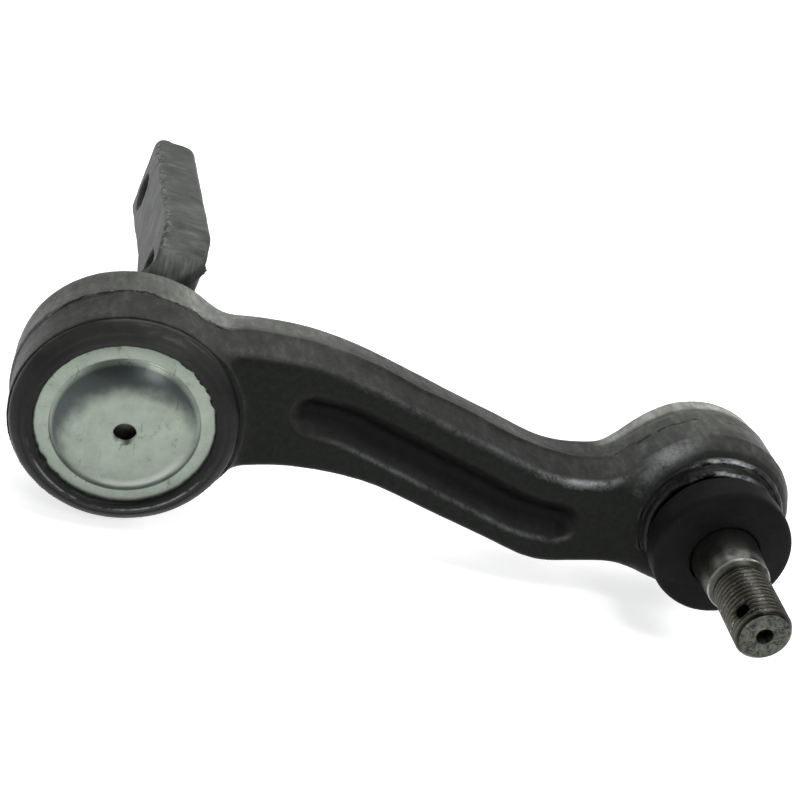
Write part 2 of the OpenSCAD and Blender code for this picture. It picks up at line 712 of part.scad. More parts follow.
module dust_boot() {
    b = -ball_front;
    f = -boot_face;
    w = boot_wall;
    lip = f - boot_lip;
    bore = taper_r(-lip) + lip_gap;
    color([0.09, 0.09, 0.1]) from_cover() at_ball() turned() polygon([
        [bead_r, b + 1.15], [throat_r + 1.2, b + 1.15], [throat_r + 1.2, b + 0.2], [bead_r + 0.9, b - 0.4],
        [bead_r + 0.8, b - 3.2], [bead_r + 1.5, b - 3.6], [boot_r - 1.6, b - 3.8], [boot_r - 0.8, b - 4.3],
        [boot_r - 0.3, b - 5.6], [boot_r, b - 9.4], [boot_r - 0.2, f + 1], [boot_r - 0.6, f + 0.2],
        [boot_r - 1.4, f - 0.15], [neck_ring_r + 1.2, lip + 0.15], [bore + 0.5, lip],
        [bore, lip + 0.5], [bore + 0.1, lip + 1.5], [neck_ring_r, lip + 1.5],
        [neck_ring_r, lip + 3.3], [neck_ring_r + 1.1, lip + 3.3], [boot_r - 4, f + w],
        [boot_r - w - 0.8, f + w + 1.2], [boot_r - w, f + w + 3], [boot_r - w - 0.3, b - 6.4],
        [bead_r + 0.4, b - 5], [bead_r - 0.3, b - 3.6], [bead_r - 0.2, b - 1.2], [bead_r, b - 0.6]]);
}
module boot_band() {
    y = -ball_front;
    color([0.5, 0.5, 0.5]) from_cover() at_ball() turned() polygon([
        [bead_r - 0.8, y + 1.1], [bead_r - 0.05, y + 1.1], [bead_r - 0.05, y - 0.55],
        [bead_r - 0.25, y - 0.9], [bead_r - 0.8, y - 0.9]]);
}
module neck_ring() {
    y = -boot_face - boot_lip;
    r = taper_r(boot_face - 3) + lip_gap;
    color([0.12, 0.12, 0.13]) from_cover() at_ball() turned() polygon([
        [r, y + 1.65], [neck_ring_r - 0.1, y + 1.65], [neck_ring_r - 0.1, y + 3.2],
        [r + 0.4, y + 3.2], [r, y + 2.8]]);
}

idler_arm();
pivot_cover_plate();
cover_gasket();
front_bush();
rear_bush();
dust_seal();
frame_bracket();
rear_thrust_washer();
front_thrust_washer();
preload_spring();
spindle_nut();
ball_stud();
bearing_liner();
front_seat();
rear_seat();
seat_spring();
socket_end_plate();
dust_boot();
boot_band();
neck_ring();
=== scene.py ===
"""Looks of a steering idler arm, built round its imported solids.

The forgings are modelled as distance fields with soft fillets, the turned parts as fine
revolved surfaces. Shapes are in millimetres in the shared frame and scaled on the mesh.
"""
import math

import bmesh
import bpy
import numpy as np
from mathutils import Matrix, Vector


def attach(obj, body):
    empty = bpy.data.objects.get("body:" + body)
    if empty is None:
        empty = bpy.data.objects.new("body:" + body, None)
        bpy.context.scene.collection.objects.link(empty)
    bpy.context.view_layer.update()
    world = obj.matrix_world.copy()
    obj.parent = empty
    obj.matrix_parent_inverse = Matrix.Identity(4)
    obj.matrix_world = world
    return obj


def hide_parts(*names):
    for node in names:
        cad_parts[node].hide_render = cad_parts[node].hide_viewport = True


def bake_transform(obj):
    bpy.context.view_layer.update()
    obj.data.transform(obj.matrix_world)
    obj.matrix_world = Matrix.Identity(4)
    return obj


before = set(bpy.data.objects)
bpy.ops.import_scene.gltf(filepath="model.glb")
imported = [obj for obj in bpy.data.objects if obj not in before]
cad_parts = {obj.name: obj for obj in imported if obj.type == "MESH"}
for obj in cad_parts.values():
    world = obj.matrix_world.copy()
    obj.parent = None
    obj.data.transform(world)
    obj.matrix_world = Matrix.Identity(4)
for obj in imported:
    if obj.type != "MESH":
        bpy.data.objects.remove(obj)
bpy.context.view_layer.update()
MM = 0.001
PART = 19.5          # Y of the forging's parting plane
TIP = -42.7          # Y of the stud's end
ARM = 151.2          # pivot axis to ball stud axis
GREASE_R = 2.75      # grease hole of the cover
BALL_Y, BALL_R = 16.5, 11.4
NECK_R = 7.4         # stud between ball and taper
TAPER_END = -22.3    # Y where the taper ends
THREAD_START = -23.6
COTTER_R, COTTER_INSET = 1.8, 4.5


# ---------------------------------------------------------------- helpers: noise and fields
def waves(p, size, seed, octaves=3):
    """Smooth noise from about -1 to 1: plane waves of random directions, seeded."""
    rng = np.random.default_rng(seed)
    out = np.zeros(len(p))
    amp, total = 1.0, 0.0
    for _ in range(octaves):
        for _ in range(5):
            k = rng.normal(size=3)
            k = k / np.linalg.norm(k) * (2 * math.pi / size) * rng.uniform(0.7, 1.3)
            out += amp * np.sin(p @ k + rng.uniform(0, 2 * math.pi))
        total += amp * 1.6
        amp *= 0.5
        size *= 0.5
    return out / total


def ring_waves(a, count, seed, octaves=4):
    """Noise round a ring: a is the angle in radians, count the number of coarse lumps."""
    rng = np.random.default_rng(seed)
    out = np.zeros_like(a)
    amp, total = 1.0, 0.0
    for _ in range(octaves):
        for _ in range(3):
            n = max(1, int(round(count * rng.uniform(0.7, 1.3))))
            out += amp * np.sin(n * a + rng.uniform(0, 2 * math.pi))
        total += amp * 1.4
        amp *= 0.6
        count *= 2.1
    return out / total


def soft_min(a, b, k):
    h = np.clip(0.5 + 0.5 * (b - a) / k, 0, 1)
    return b * (1 - h) + a * h - k * h * (1 - h)


def round_max(a, b, r):
    """Where two fields meet, an outer corner rounded to r."""
    u, v = np.maximum(a + r, 0), np.maximum(b + r, 0)
    return np.minimum(np.maximum(a, b), -r) + np.hypot(u, v)


def polygon_field(px, py, points):
    """Signed distance to a closed polygon, negative inside."""
    pts = np.array(points, float)
    d = np.full(px.shape, 1e9)
    inside = np.zeros(px.shape, bool)
    for i in range(len(pts)):
        a, b = pts[i - 1], pts[i]
        e = b - a
        wx, wy = px - a[0], py - a[1]
        t = np.clip((wx * e[0] + wy * e[1]) / (e @ e + 1e-12), 0, 1)
        d = np.minimum(d, (wx - e[0] * t) ** 2 + (wy - e[1] * t) ** 2)
        if a[1] != b[1]:
            cross = (a[1] > py) != (b[1] > py)
            x = a[0] + (py - a[1]) / (b[1] - a[1]) * (b[0] - a[0])
            inside ^= cross & (px < x)
    return np.where(inside, -1, 1) * np.sqrt(d)


def surface_nets(field, lo, hi, h):
    """The zero surface of a field as a quad mesh, its points then drawn onto the surface."""
    axes = [np.arange(lo[i], hi[i] + h, h) for i in range(3)]
    shape = tuple(len(a) for a in axes)
    g = np.stack(np.meshgrid(*axes, indexing="ij"), -1)
    d = field(g.reshape(-1, 3)).reshape(shape)
    inside = d < 0
    n = tuple(s - 1 for s in shape)
    total, count = np.zeros(n + (3,)), np.zeros(n)
    for axis in range(3):
        for o1 in (0, 1):
            for o2 in (0, 1):
                off = [0, 0, 0]
                others = [i for i in range(3) if i != axis]
                off[others[0]], off[others[1]] = o1, o2
                end = list(off)
                end[axis] += 1
                a = tuple(slice(off[i], off[i] + n[i]) for i in range(3))
                b = tuple(slice(end[i], end[i] + n[i]) for i in range(3))
                hit = inside[a] != inside[b]
                span = np.where(hit, d[a] - d[b], 1)
                t = np.where(hit, d[a] / span, 0)
                p = g[a] * (1 - t[..., None]) + g[b] * t[..., None]
                total += np.where(hit[..., None], p, 0)
                count += hit
    active = count > 0
    index = np.full(n, -1)
    index[active] = np.arange(active.sum())
    verts = total[active] / count[active][:, None]
    faces = []
    for axis in range(3):
        i1, i2 = [(1, 2), (2, 0), (0, 1)][axis]
        a = [slice(1, n[i]) for i in range(3)]
        a[axis] = slice(0, n[axis])
        b = list(a)
        b[axis] = slice(1, n[axis] + 1)
        s0, s1 = inside[tuple(a)], inside[tuple(b)]
        cells = []
        for d1, d2 in ((0, 0), (1, 0), (1, 1), (0, 1)):
            c = list(a)
            c[i1] = slice(1 - d1, n[i1] - d1)
            c[i2] = slice(1 - d2, n[i2] - d2)
            cells.append(index[tuple(c)])
        for flip in (False, True):
            hit = (s0 != s1) & (s1 == flip)
            q = np.stack([c[hit] for c in cells], -1)
            faces.append(q[:, ::-1] if flip else q)
    faces = np.concatenate(faces)
    faces = faces[(faces >= 0).all(1)]
    for _ in range(3):
        probe = 0.02
        grad = np.stack([(field(verts + probe * v) - field(verts - probe * v)) / (2 * probe)
                         for v in np.eye(3)], -1)
        size = np.maximum((grad ** 2).sum(1), 0.2)
        move = np.clip(field(verts) / size, -0.5 * h, 0.5 * h)
        verts = verts - move[:, None] * grad
    return verts, faces


# ---------------------------------------------------------------- helpers: meshes
def new_mesh(name, verts, faces, material):
    me = bpy.data.meshes.new(name)
    me.from_pydata((np.asarray(verts) * MM).tolist(), [], [list(map(int, f)) for f in faces])
    me.update()
    me.validate()
    ob = bpy.data.objects.new(name, me)
    bpy.context.scene.collection.objects.link(ob)
    me.materials.append(material)
    me.polygons.foreach_set("use_smooth", [True] * len(me.polygons))
    return ob


def paint(ob, name, values):
    """One number a vertex, read by the material of that piece."""
    layer = ob.data.attributes.new(name, "FLOAT", "POINT")
    layer.data.foreach_set("value", np.asarray(values, np.float32))


def places(ob):
    """The piece's vertices in millimetres, and its vertex normals."""
    n = len(ob.data.vertices)
    co, no = np.empty(n * 3), np.empty(n * 3)
    ob.data.vertices.foreach_get("co", co)
    ob.data.vertices.foreach_get("normal", no)
    return co.reshape(-1, 3) / MM, no.reshape(-1, 3)


def step(x, lo, hi):
    t = np.clip((x - lo) / (hi - lo), 0, 1)
    return t * t * (3 - 2 * t)


def outward(ob):
    bm = bmesh.new()
    bm.from_mesh(ob.data)
    bmesh.ops.remove_doubles(bm, verts=bm.verts, dist=1e-7)
    bmesh.ops.recalc_face_normals(bm, faces=bm.faces)
    bm.to_mesh(ob.data)
    bm.free()


def revolve(name, profile, centre_x, material, n=256, warp=None, sharp=35):
    """Closed profile of (radius, y) points turned about the line x = centre_x, z = 0."""
    prof = np.array(profile, float)
    a = np.linspace(0, 2 * math.pi, n, endpoint=False)
    m = len(prof)
    r = np.repeat(prof[:, 0][None], n, 0)
    y = np.repeat(prof[:, 1][None], n, 0)
    ang = np.repeat(a[:, None], m, 1)
    if warp:
        r, y = warp(r, y, ang)
    verts = np.stack([centre_x + r * np.cos(ang), y, r * np.sin(ang)], -1).reshape(-1, 3)
    spans = m if profile[0] != profile[-1] else m - 1
    faces = []
    for i in range(n):
        i2 = (i + 1) % n
        for j in range(spans):
            k = (j + 1) % m
            faces.append((i * m + j, i * m + k, i2 * m + k, i2 * m + j))
    ob = new_mesh(name, verts, faces, material)
    outward(ob)
    split_sharp(ob, sharp)
    return ob


def split_sharp(ob, degrees):
    """Keeps edges crisp where faces meet at more than this angle."""
    bm = bmesh.new()
    bm.from_mesh(ob.data)
    limit = math.radians(degrees)
    for e in bm.edges:
        e.smooth = not (len(e.link_faces) == 2 and e.calc_face_angle(0) > limit)
    bm.to_mesh(ob.data)
    bm.free()


def rounded(points, reach=0.25, passes=2):
    """A profile with its corners cut softly, reach millimetres from each; its ends stay."""
    p = [tuple(q) for q in points]
    for _ in range(passes):
        out = [p[0]]
        for a, b in zip(p[:-1], p[1:]):
            length = math.dist(a, b)
            t = min(0.25, reach / max(length, 1e-6))
            out += [(a[0] + (b[0] - a[0]) * t, a[1] + (b[1] - a[1]) * t),
                    (a[0] + (b[0] - a[0]) * (1 - t), a[1] + (b[1] - a[1]) * (1 - t))]
        out.append(p[-1])
        p = out
        reach *= 0.5
    return p


# ---------------------------------------------------------------- helpers: materials
class Look:
    """A node material. Places come from the object's own coordinates, in metres."""

    def __init__(self, name):
        self.m = bpy.data.materials.new(name)
        self.m.use_nodes = True
        self.t = self.m.node_tree
        self.t.nodes.clear()
        coord = self.t.nodes.new("ShaderNodeTexCoord")
        self.place = coord.outputs["Object"]
        self.normal = coord.outputs["Normal"]
        self.out = self.t.nodes.new("ShaderNodeOutputMaterial")

    def add(self, kind, ins=(), **props):
        node = self.t.nodes.new(kind)
        for k, v in props.items():
            setattr(node, k, v)
        for key, value in dict(ins).items():
            if isinstance(value, bpy.types.NodeSocket):
                self.t.links.new(value, node.inputs[key])
            else:
                node.inputs[key].default_value = value
        return node

    def noise(self, size_mm, detail=3.0, rough=0.55, stretch=None, distort=0.0):
        vec = self.place
        if stretch:
            vec = self.add("ShaderNodeMapping", {"Vector": vec, "Scale": stretch}).outputs[0]
        return self.add("ShaderNodeTexNoise", {
            "Vector": vec, "Scale": 1 / (size_mm * MM), "Detail": detail,
            "Roughness": rough, "Distortion": distort}).outputs["Fac"]

    def ramp(self, fac, *stops, smooth=False):
        node = self.add("ShaderNodeValToRGB", {"Fac": fac})
        node.color_ramp.interpolation = "EASE" if smooth else "LINEAR"
        while len(node.color_ramp.elements) < len(stops):
            node.color_ramp.elements.new(0.5)
        for e, (at, c) in zip(node.color_ramp.elements, stops):
            e.position = at
            e.color = (c, c, c, 1) if isinstance(c, (int, float)) else (*c, 1)
        return node.outputs["Color"]

    def mix(self, fac, a, b, mode="MIX"):
        node = self.add("ShaderNodeMix", data_type="RGBA", blend_type=mode)
        for key, value in ((0, fac), (6, a), (7, b)):
            if isinstance(value, bpy.types.NodeSocket):
                self.t.links.new(value, node.inputs[key])
            elif key == 0:
                node.inputs[0].default_value = value
            else:
                node.inputs[key].default_value = (*value, 1)
        return node.outputs[2]

    def times(self, a, b):
        """Two colours or two grey values multiplied."""
        return self.mix(1.0, a, b, "MULTIPLY")

    def calc(self, op, a, b=0.0, clamp=False):
        return self.add("ShaderNodeMath", {0: a, 1: b}, operation=op, use_clamp=clamp).outputs[0]

    def split(self, vec=None):
        node = self.add("ShaderNodeSeparateXYZ", {0: vec or self.place})
        return node.outputs[0], node.outputs[1], node.outputs[2]

    def painted(self, name):
        return self.add("ShaderNodeAttribute", attribute_name=name).outputs["Fac"]

    def radius(self, centre_x):
        """Distance from the line x = centre_x, z = 0, in millimetres."""
        x, _, z = self.split()
        dx = self.calc("SUBTRACT", x, centre_x * MM)
        square = self.calc("ADD", self.calc("MULTIPLY", dx, dx), self.calc("MULTIPLY", z, z))
        return self.calc("MULTIPLY", self.calc("SQRT", square), 1 / MM)

    def bump(self, height, depth_mm, normal=None):
        ins = {"Height": height, "Distance": depth_mm * MM, "Strength": 1.0}
        if normal:
            ins["Normal"] = normal
        return self.add("ShaderNodeBump", ins).outputs[0]

    def finish(self, colour, rough, metallic=0.0, normal=None, **more):
        ins = {"Base Color": colour if isinstance(colour, bpy.types.NodeSocket) else (*colour, 1),
               "Roughness": rough, "Metallic": metallic}
        if normal:
            ins["Normal"] = normal
        ins.update({k.replace("_", " "): v for k, v in more.items()})
        shader = self.add("ShaderNodeBsdfPrincipled", ins)
        self.t.links.new(shader.outputs[0], self.out.inputs[0])
        return self.m


def near(look, value, at, width):
    """1 where a value is at a place, falling to 0 within width on both sides."""
    off = look.calc("ABSOLUTE", look.calc("SUBTRACT", value, at))
    return look.calc("SUBTRACT", 1.0, look.calc("DIVIDE", off, width), clamp=True)


# ---------------------------------------------------------------- materials
def forging_look():
    """As-forged scale with oil: near black on the faces, greyer on the sides as dried scale and
    painted light, with painted highlight spots along some edges.
    """
    k = Look("forging")
    fine = k.noise(0.5, 4)
    grain = k.noise(1.6, 4, 0.6)
    cloud = k.noise(12, 4, 0.6, distort=0.6)
    streak = k.noise(1.1, 4, 0.65, stretch=(0.5, 0.22, 0.5), distort=0.4)
    _, y, _ = k.split()
    _, ny, _ = k.split(k.normal)
    # Sides that do not face along Y take the paler colour: dried scale and painted light together.
    side = k.calc("SUBTRACT", 1.0, k.calc("ABSOLUTE", ny), clamp=True)
    dry_and_lit = k.ramp(side, (0.12, 0.0), (0.55, 1.0), smooth=True)
    shade, level, edge_glint = k.painted("shade"), k.painted("level"), k.painted("edge_glint")
    dark = k.ramp(grain, (0.3, (0.0085, 0.0095, 0.0080)), (0.7, (0.0160, 0.0178, 0.0152)))
    dark = k.times(dark, shade)
    pattern = k.ramp(k.mix(0.45, streak, cloud), (0.30, (0.50, 0.515, 0.455)),
                     (0.5, (0.93, 0.96, 0.855)), (0.70, (1.82, 1.87, 1.68)))
    colour = k.mix(dry_and_lit, dark, k.times(pattern, level))
    # Along the trimmed flash a torn dark line, and bits of pale skin beside it.
    wander = k.calc("MULTIPLY", k.calc("SUBTRACT", k.noise(6, 4, 0.7), 0.5), 4.0 * MM)
    line = k.calc("SUBTRACT", k.calc("ADD", y, wander), (PART - 0.4) * MM)
    torn = k.times(near(k, line, 0.0, 0.55 * MM),
                   k.ramp(k.noise(3.6, 4, 0.7), (0.42, 0.0), (0.52, 1.0)))
    ends = k.painted("ends")
    colour = k.mix(k.times(torn, ends), colour, (0.006, 0.006, 0.0055))
    skin = k.times(near(k, line, 0.75 * MM, 0.25 * MM),
                   k.ramp(k.noise(3.1, 4, 0.7, distort=0.5), (0.56, 0.0), (0.62, 1.0)))
    colour = k.mix(k.times(skin, ends), colour, (0.24, 0.25, 0.225))
    # Painted highlight spots, pale and smoother, where paint_arm marks them.
    glint_spots = k.times(edge_glint, k.ramp(k.mix(0.5, k.noise(0.8, 4, 0.75), k.noise(5, 2)),
                                (0.40, 0.15), (0.58, 1.0)))
    colour = k.mix(glint_spots, colour, (0.30, 0.31, 0.31))
    rough = k.ramp(k.mix(0.5, fine, grain), (0.3, 0.36), (0.7, 0.54))
    rough = k.mix(glint_spots, rough, (0.30, 0.30, 0.30))
    n = k.bump(k.noise(5.0, 3, 0.5), 0.20)
    n = k.bump(fine, 0.045, k.bump(streak, 0.06, n))
    return k.finish(colour, rough, 0.0, n, Specular_IOR_Level=0.07)


def bracket_look():
    """Grey cleaned forging with fine drawn lines along its sides and across its top."""
    k = Look("bracket")
    fine = k.noise(0.45, 4)
    cloud = k.noise(11, 4, 0.6, distort=0.5)
    _, _, nz = k.split(k.normal)
    top = k.ramp(k.calc("ABSOLUTE", nz), (0.45, 0.0), (0.75, 1.0), smooth=True)
    across = k.noise(0.9, 4, 0.6, stretch=(0.14, 1.0, 0.5), distort=0.25)
    along = k.noise(0.9, 4, 0.6, stretch=(1.0, 0.35, 0.12), distort=0.25)
    lines = k.mix(top, along, across)
    tone = k.mix(0.5, cloud, lines)
    colour = k.ramp(tone, (0.32, (0.026, 0.028, 0.0245)), (0.5, (0.060, 0.064, 0.057)),
                    (0.68, (0.125, 0.131, 0.119)))
    colour = k.times(colour, k.painted("level"))
    # Painted highlight specks, where paint_bracket marks them.
    glint_spots = k.times(k.painted("edge_glint"), k.ramp(k.noise(1.0, 4, 0.8), (0.50, 0.0), (0.60, 1.0)))
    colour = k.mix(glint_spots, colour, (0.30, 0.31, 0.29))
    n = k.bump(k.noise(4.5, 3, 0.5), 0.16)
    n = k.bump(fine, 0.04, k.bump(lines, 0.09, n))
    return k.finish(colour, k.ramp(fine, (0.3, 0.50), (0.7, 0.66)), 0.0, n,
                    Specular_IOR_Level=0.25)


def lip_look(name, centre_x, rings, low):
    """Rolled lip: smooth, dark, a little oily, its top painted lighter as lit, with painted glints
    low or high along its rings.
    """
    k = Look(name)
    ring = k.noise(0.8, 3, 0.5, stretch=(0.25, 1.0, 0.25))
    cloud = k.noise(9, 4, 0.6)
    x, _, z = k.split()
    dark = k.ramp(cloud, (0.3, (0.0050, 0.0056, 0.0048)), (0.7, (0.0125, 0.0138, 0.0118)))
    # The top is painted lighter, as lit from above.
    lit_top = k.calc("MULTIPLY", k.calc("SUBTRACT", z, 14 * MM), 110.0, clamp=True)
    colour = k.mix(lit_top, dark, k.mix(cloud, (0.016, 0.017, 0.015), (0.044, 0.046, 0.042)))
    if low:
        part = k.calc("MULTIPLY", k.calc("SUBTRACT", -6.0 * MM, z), 80.0, clamp=True)
    else:
        part = k.calc("MULTIPLY", k.calc("SUBTRACT", z, 11 * MM), 200.0, clamp=True)
        across = near(k, x, (centre_x - 1.5) * MM, 11 * MM)
        part = k.times(part, k.ramp(across, (0.1, 0.05), (0.6, 1.0)))
    r = k.radius(centre_x)
    torn = k.ramp(k.noise(4.0, 5, 0.72, stretch=(0.6, 1.6, 1.0)), (0.42, 0.0), (0.56, 1.0))
    # Painted glints along the rings, in a pale colour, broken up by noise.
    pale = (0.30, 0.31, 0.30) if low else (0.62, 0.65, 0.66)
    for at, width in rings:
        painted_glint = k.times(k.times(near(k, r, at, width), part), torn)
        colour = k.mix(painted_glint, colour, pale)
    n = k.bump(ring, 0.03, k.bump(k.noise(4, 2), 0.16))
    return k.finish(colour, k.ramp(ring, (0.3, 0.26), (0.7, 0.38)), 0.0, n,
                    Specular_IOR_Level=0.14)


def zinc_look(name, crowned):
    """Zinc plate: pale, faintly green, satin, with scuffs and small dark stains."""
    k = Look(name)
    cloud = k.noise(5, 5, 0.6)
    fine = k.noise(0.35, 4, 0.6)
    stain = k.ramp(k.noise(2.2, 5, 0.74, stretch=(1.0, 1.0, 0.55), distort=1.2),
                   (0.590, 0.0), (0.68, 0.75))
    colour = k.ramp(cloud, (0.3, (0.198, 0.232, 0.191)), (0.7, (0.262, 0.302, 0.254)))
    colour = k.mix(stain, colour, (0.095, 0.105, 0.085))
    if crowned:
        # The crown's shoulder has a painted dark reflection, least so low on its right, where its
        # foot has a painted pale reflection.
        x, _, z = k.split()
        r = k.radius(0.0)
        reach = k.calc("ADD", k.calc("MULTIPLY", r, MM), 0.002)
        tilt = k.calc("SUBTRACT", z, k.calc("MULTIPLY", x, 0.45))
        across = k.calc("MULTIPLY", k.calc("ADD", k.calc("DIVIDE", tilt, reach), 1.2), 1 / 2.4)
        bend = k.calc("ADD", k.calc("MULTIPLY", across, 0.62),
                      k.calc("MULTIPLY", k.noise(4, 4), 0.22))
        mark = k.calc("ADD", k.calc("MULTIPLY", r, 0.055), k.calc("SUBTRACT", bend, 0.42))
        inside = k.calc("SUBTRACT", 17.6, r, clamp=True)
        dark_reflection = k.ramp(mark, (0.70, 0.0), (0.98, 0.92), smooth=True)
        colour = k.mix(k.times(dark_reflection, inside), colour, (0.042, 0.051, 0.053))
        # Low on the right of the foot a painted pale reflection, placed by the corner mask.
        corner = k.ramp(across, (0.10, 0.75), (0.26, 0.0), smooth=True)
        pale = k.times(near(k, r, 15.4, 2.2), corner)
        colour = k.mix(pale, colour, (0.52, 0.56, 0.52))
        edge = k.calc("ADD", r, k.calc("MULTIPLY", k.noise(1.1, 4, 0.75), 3.2))
        grime = k.ramp(k.calc("SUBTRACT", edge, 22.9), (0.0, 0.0), (0.7, 0.8))
        colour = k.mix(grime, colour, (0.05, 0.055, 0.045))
    scratch = k.noise(0.5, 3, 0.5, stretch=(1.0, 1.0, 0.08), distort=0.3)
    rough = k.ramp(k.mix(0.5, cloud, fine), (0.3, 0.26), (0.7, 0.40))
    n = k.bump(scratch, 0.012, k.bump(k.noise(1.4, 3), 0.02))
    return k.finish(colour, rough, 0.92, n)


def steel_look(name, low, high, rough, ring=False):
    """Turned or rolled steel, from its darker to its lighter tone."""
    k = Look(name)
    cloud = k.noise(3.5, 5, 0.6)
    stretch = (0.12, 1.0, 0.12) if ring else None
    line = k.noise(0.35, 3, 0.55, stretch=stretch)
    colour = k.ramp(k.mix(0.5, cloud, line), (0.3, low), (0.7, high))
    n = k.bump(line, 0.012)
    return k.finish(colour, k.ramp(cloud, (0.3, rough), (0.7, rough + 0.14)), 0.9, n)


def stud_look():
    """Oiled dark steel: a bright shoulder ring, worn and painted highlight, a painted highlight
    low on the taper, lighter thread crests with painted glints, stained end.
    """
    k = Look("stud_steel")
    _, y, _ = k.split()
    cloud = k.noise(3.5, 5, 0.6)
    line = k.noise(0.35, 3, 0.55, stretch=(0.12, 1.0, 0.12))
    r = k.radius(ARM)
    taper = k.ramp(k.mix(0.5, cloud, line), (0.3, (0.020, 0.0205, 0.0185)),
                   (0.7, (0.045, 0.0455, 0.041)))
    # A bright ring at the shoulder: worn steel with a painted highlight on it.
    shoulder = near(k, y, (TAPER_END + 0.05) * MM, 0.35 * MM)
    wear_and_sheen = k.times(shoulder, k.ramp(cloud, (0.40, 0.08), (0.60, 1.0)))
    colour = k.mix(wear_and_sheen, taper, (0.50, 0.50, 0.46))
    # A painted highlight low on the taper, broken up by noise.
    small_end = near(k, y, -20.6 * MM, 3.2 * MM)
    taper_sheen = k.times(small_end, k.ramp(k.noise(6, 3), (0.42, 0.0), (0.60, 0.8)))
    colour = k.mix(taper_sheen, colour, (0.20, 0.195, 0.175))
    crest = k.calc("MULTIPLY", k.calc("SUBTRACT", r, 6.45), 1.6, clamp=True)
    thread = k.mix(crest, (0.007, 0.0068, 0.0055), (0.085, 0.083, 0.068))
    # Painted glints on some thread crests.
    painted_glint = k.times(crest, k.ramp(k.noise(0.8, 3, 0.7), (0.62, 0.0), (0.70, 1.0)))
    thread = k.mix(painted_glint, thread, (0.50, 0.50, 0.46))
    thread = k.mix(k.ramp(cloud, (0.45, 0.0), (0.7, 0.7)), thread, (0.03, 0.028, 0.021))
    below = k.calc("MULTIPLY", k.calc("SUBTRACT", -22.9 * MM, y), 4000.0, clamp=True)
    colour = k.mix(below, colour, thread)
    stain = k.noise(1.5, 5, 0.75, distort=0.8)
    face = k.ramp(stain, (0.36, (0.014, 0.014, 0.012)), (0.5, (0.075, 0.082, 0.064)),
                  (0.66, (0.145, 0.155, 0.125)))
    end = k.calc("MULTIPLY", k.calc("SUBTRACT", (TIP + 0.06) * MM, y), 40000.0, clamp=True)
    colour = k.mix(end, colour, face)
    n = k.bump(line, 0.012, k.bump(k.noise(0.8, 3), 0.02))
    rough = k.mix(end, k.ramp(cloud, (0.3, 0.26), (0.7, 0.38)), (0.6, 0.6, 0.6))
    return k.finish(colour, rough, 0.75, n, Specular_IOR_Level=0.3)


def rubber_look():
    """Black rubber, matt, with a few grey smudges."""
    k = Look("boot_rubber")
    fine = k.noise(0.3, 4, 0.6)
    cloud = k.noise(7, 4, 0.6)
    smudge = k.ramp(k.noise(2.4, 4, 0.7, distort=1.0), (0.58, 0.0), (0.72, 0.6))
    colour = k.ramp(cloud, (0.3, (0.0040, 0.0043, 0.0041)), (0.7, (0.0085, 0.0089, 0.0086)))
    colour = k.mix(smudge, colour, (0.018, 0.0185, 0.017))
    n = k.bump(fine, 0.02, k.bump(k.noise(2.2, 3), 0.05))
    return k.finish(colour, k.ramp(fine, (0.3, 0.50), (0.7, 0.66)), 0.0, n,
                    Specular_IOR_Level=0.07)


def plain_look(name, low, high, rough):
    """Fibre or plastic, from its darker to its lighter tone."""
    k = Look(name)
    cloud = k.noise(3.0, 4, 0.6)
    n = k.bump(k.noise(0.5, 3), 0.015)
    return k.finish(k.ramp(cloud, (0.3, low), (0.7, high)),
                    k.ramp(cloud, (0.3, rough), (0.7, rough + 0.12)), 0.0, n)


FORGING, BRACKET = forging_look(), bracket_look()
# Painted glints: low on the lip's ring, high on the rim's two ridges.
LIP = lip_look("rolled_lip", 0.0, ((23.1, 0.45),), low=True)
RIM = lip_look("socket_rim", ARM, ((19.0, 0.85), (16.6, 0.80)), low=False)
ZINC, PLATE = zinc_look("zinc", True), zinc_look("zinc_plate", False)
RUBBER, STUD = rubber_look(), stud_look()
SPINDLE = steel_look("spindle_steel", (0.14, 0.14, 0.13), (0.24, 0.24, 0.22), 0.3, ring=True)


# ---------------------------------------------------------------- the arm's forging
FALL = math.radians(17.3)
CROWN, CROWN_R = (34.0, -64.3), 88.0
HOLLOW, HOLLOW_R = (114.0, 40.657), 36.0
ARCH, ARCH_R = (48.5, -77.8), 70.0
BELLY, BELLY_R = (112.5, 2.815), 26.0
UPPER_RISE, LOWER_RISE = math.radians(31), math.radians(11)
LINE_END, LINE_END_LOW = 103.3, 104.8    # X where the straight falls end
WEB_HALF, DRAFT = 11.5, 0.105
WEB_FROM, WEB_TO = 10, 138               # X where the web ends inside the sockets
POCKET_DEPTH, POCKET_HALF = 4.6, 6.5
POCKET_START, POCKET_END = 44.0, 113.4


def upper(x, z):
    """Distance above the arm's upper edge: crown, straight fall, hollow, rise."""
    crown = np.hypot(x - CROWN[0], z - CROWN[1]) - CROWN_R
    x0, z0 = CROWN[0] + CROWN_R * math.sin(FALL), CROWN[1] + CROWN_R * math.cos(FALL)
    line = (x - x0) * math.sin(FALL) + (z - z0) * math.cos(FALL)
    hollow = HOLLOW_R - np.hypot(x - HOLLOW[0], z - HOLLOW[1])
    rise = UPPER_RISE
    x1, z1 = HOLLOW[0] + HOLLOW_R * math.sin(rise), HOLLOW[1] - HOLLOW_R * math.cos(rise)
    up = -(x - x1) * math.sin(rise) + (z - z1) * math.cos(rise)
    return np.where(x < x0, crown, np.where(x < LINE_END, line, np.where(x < x1, hollow, up)))


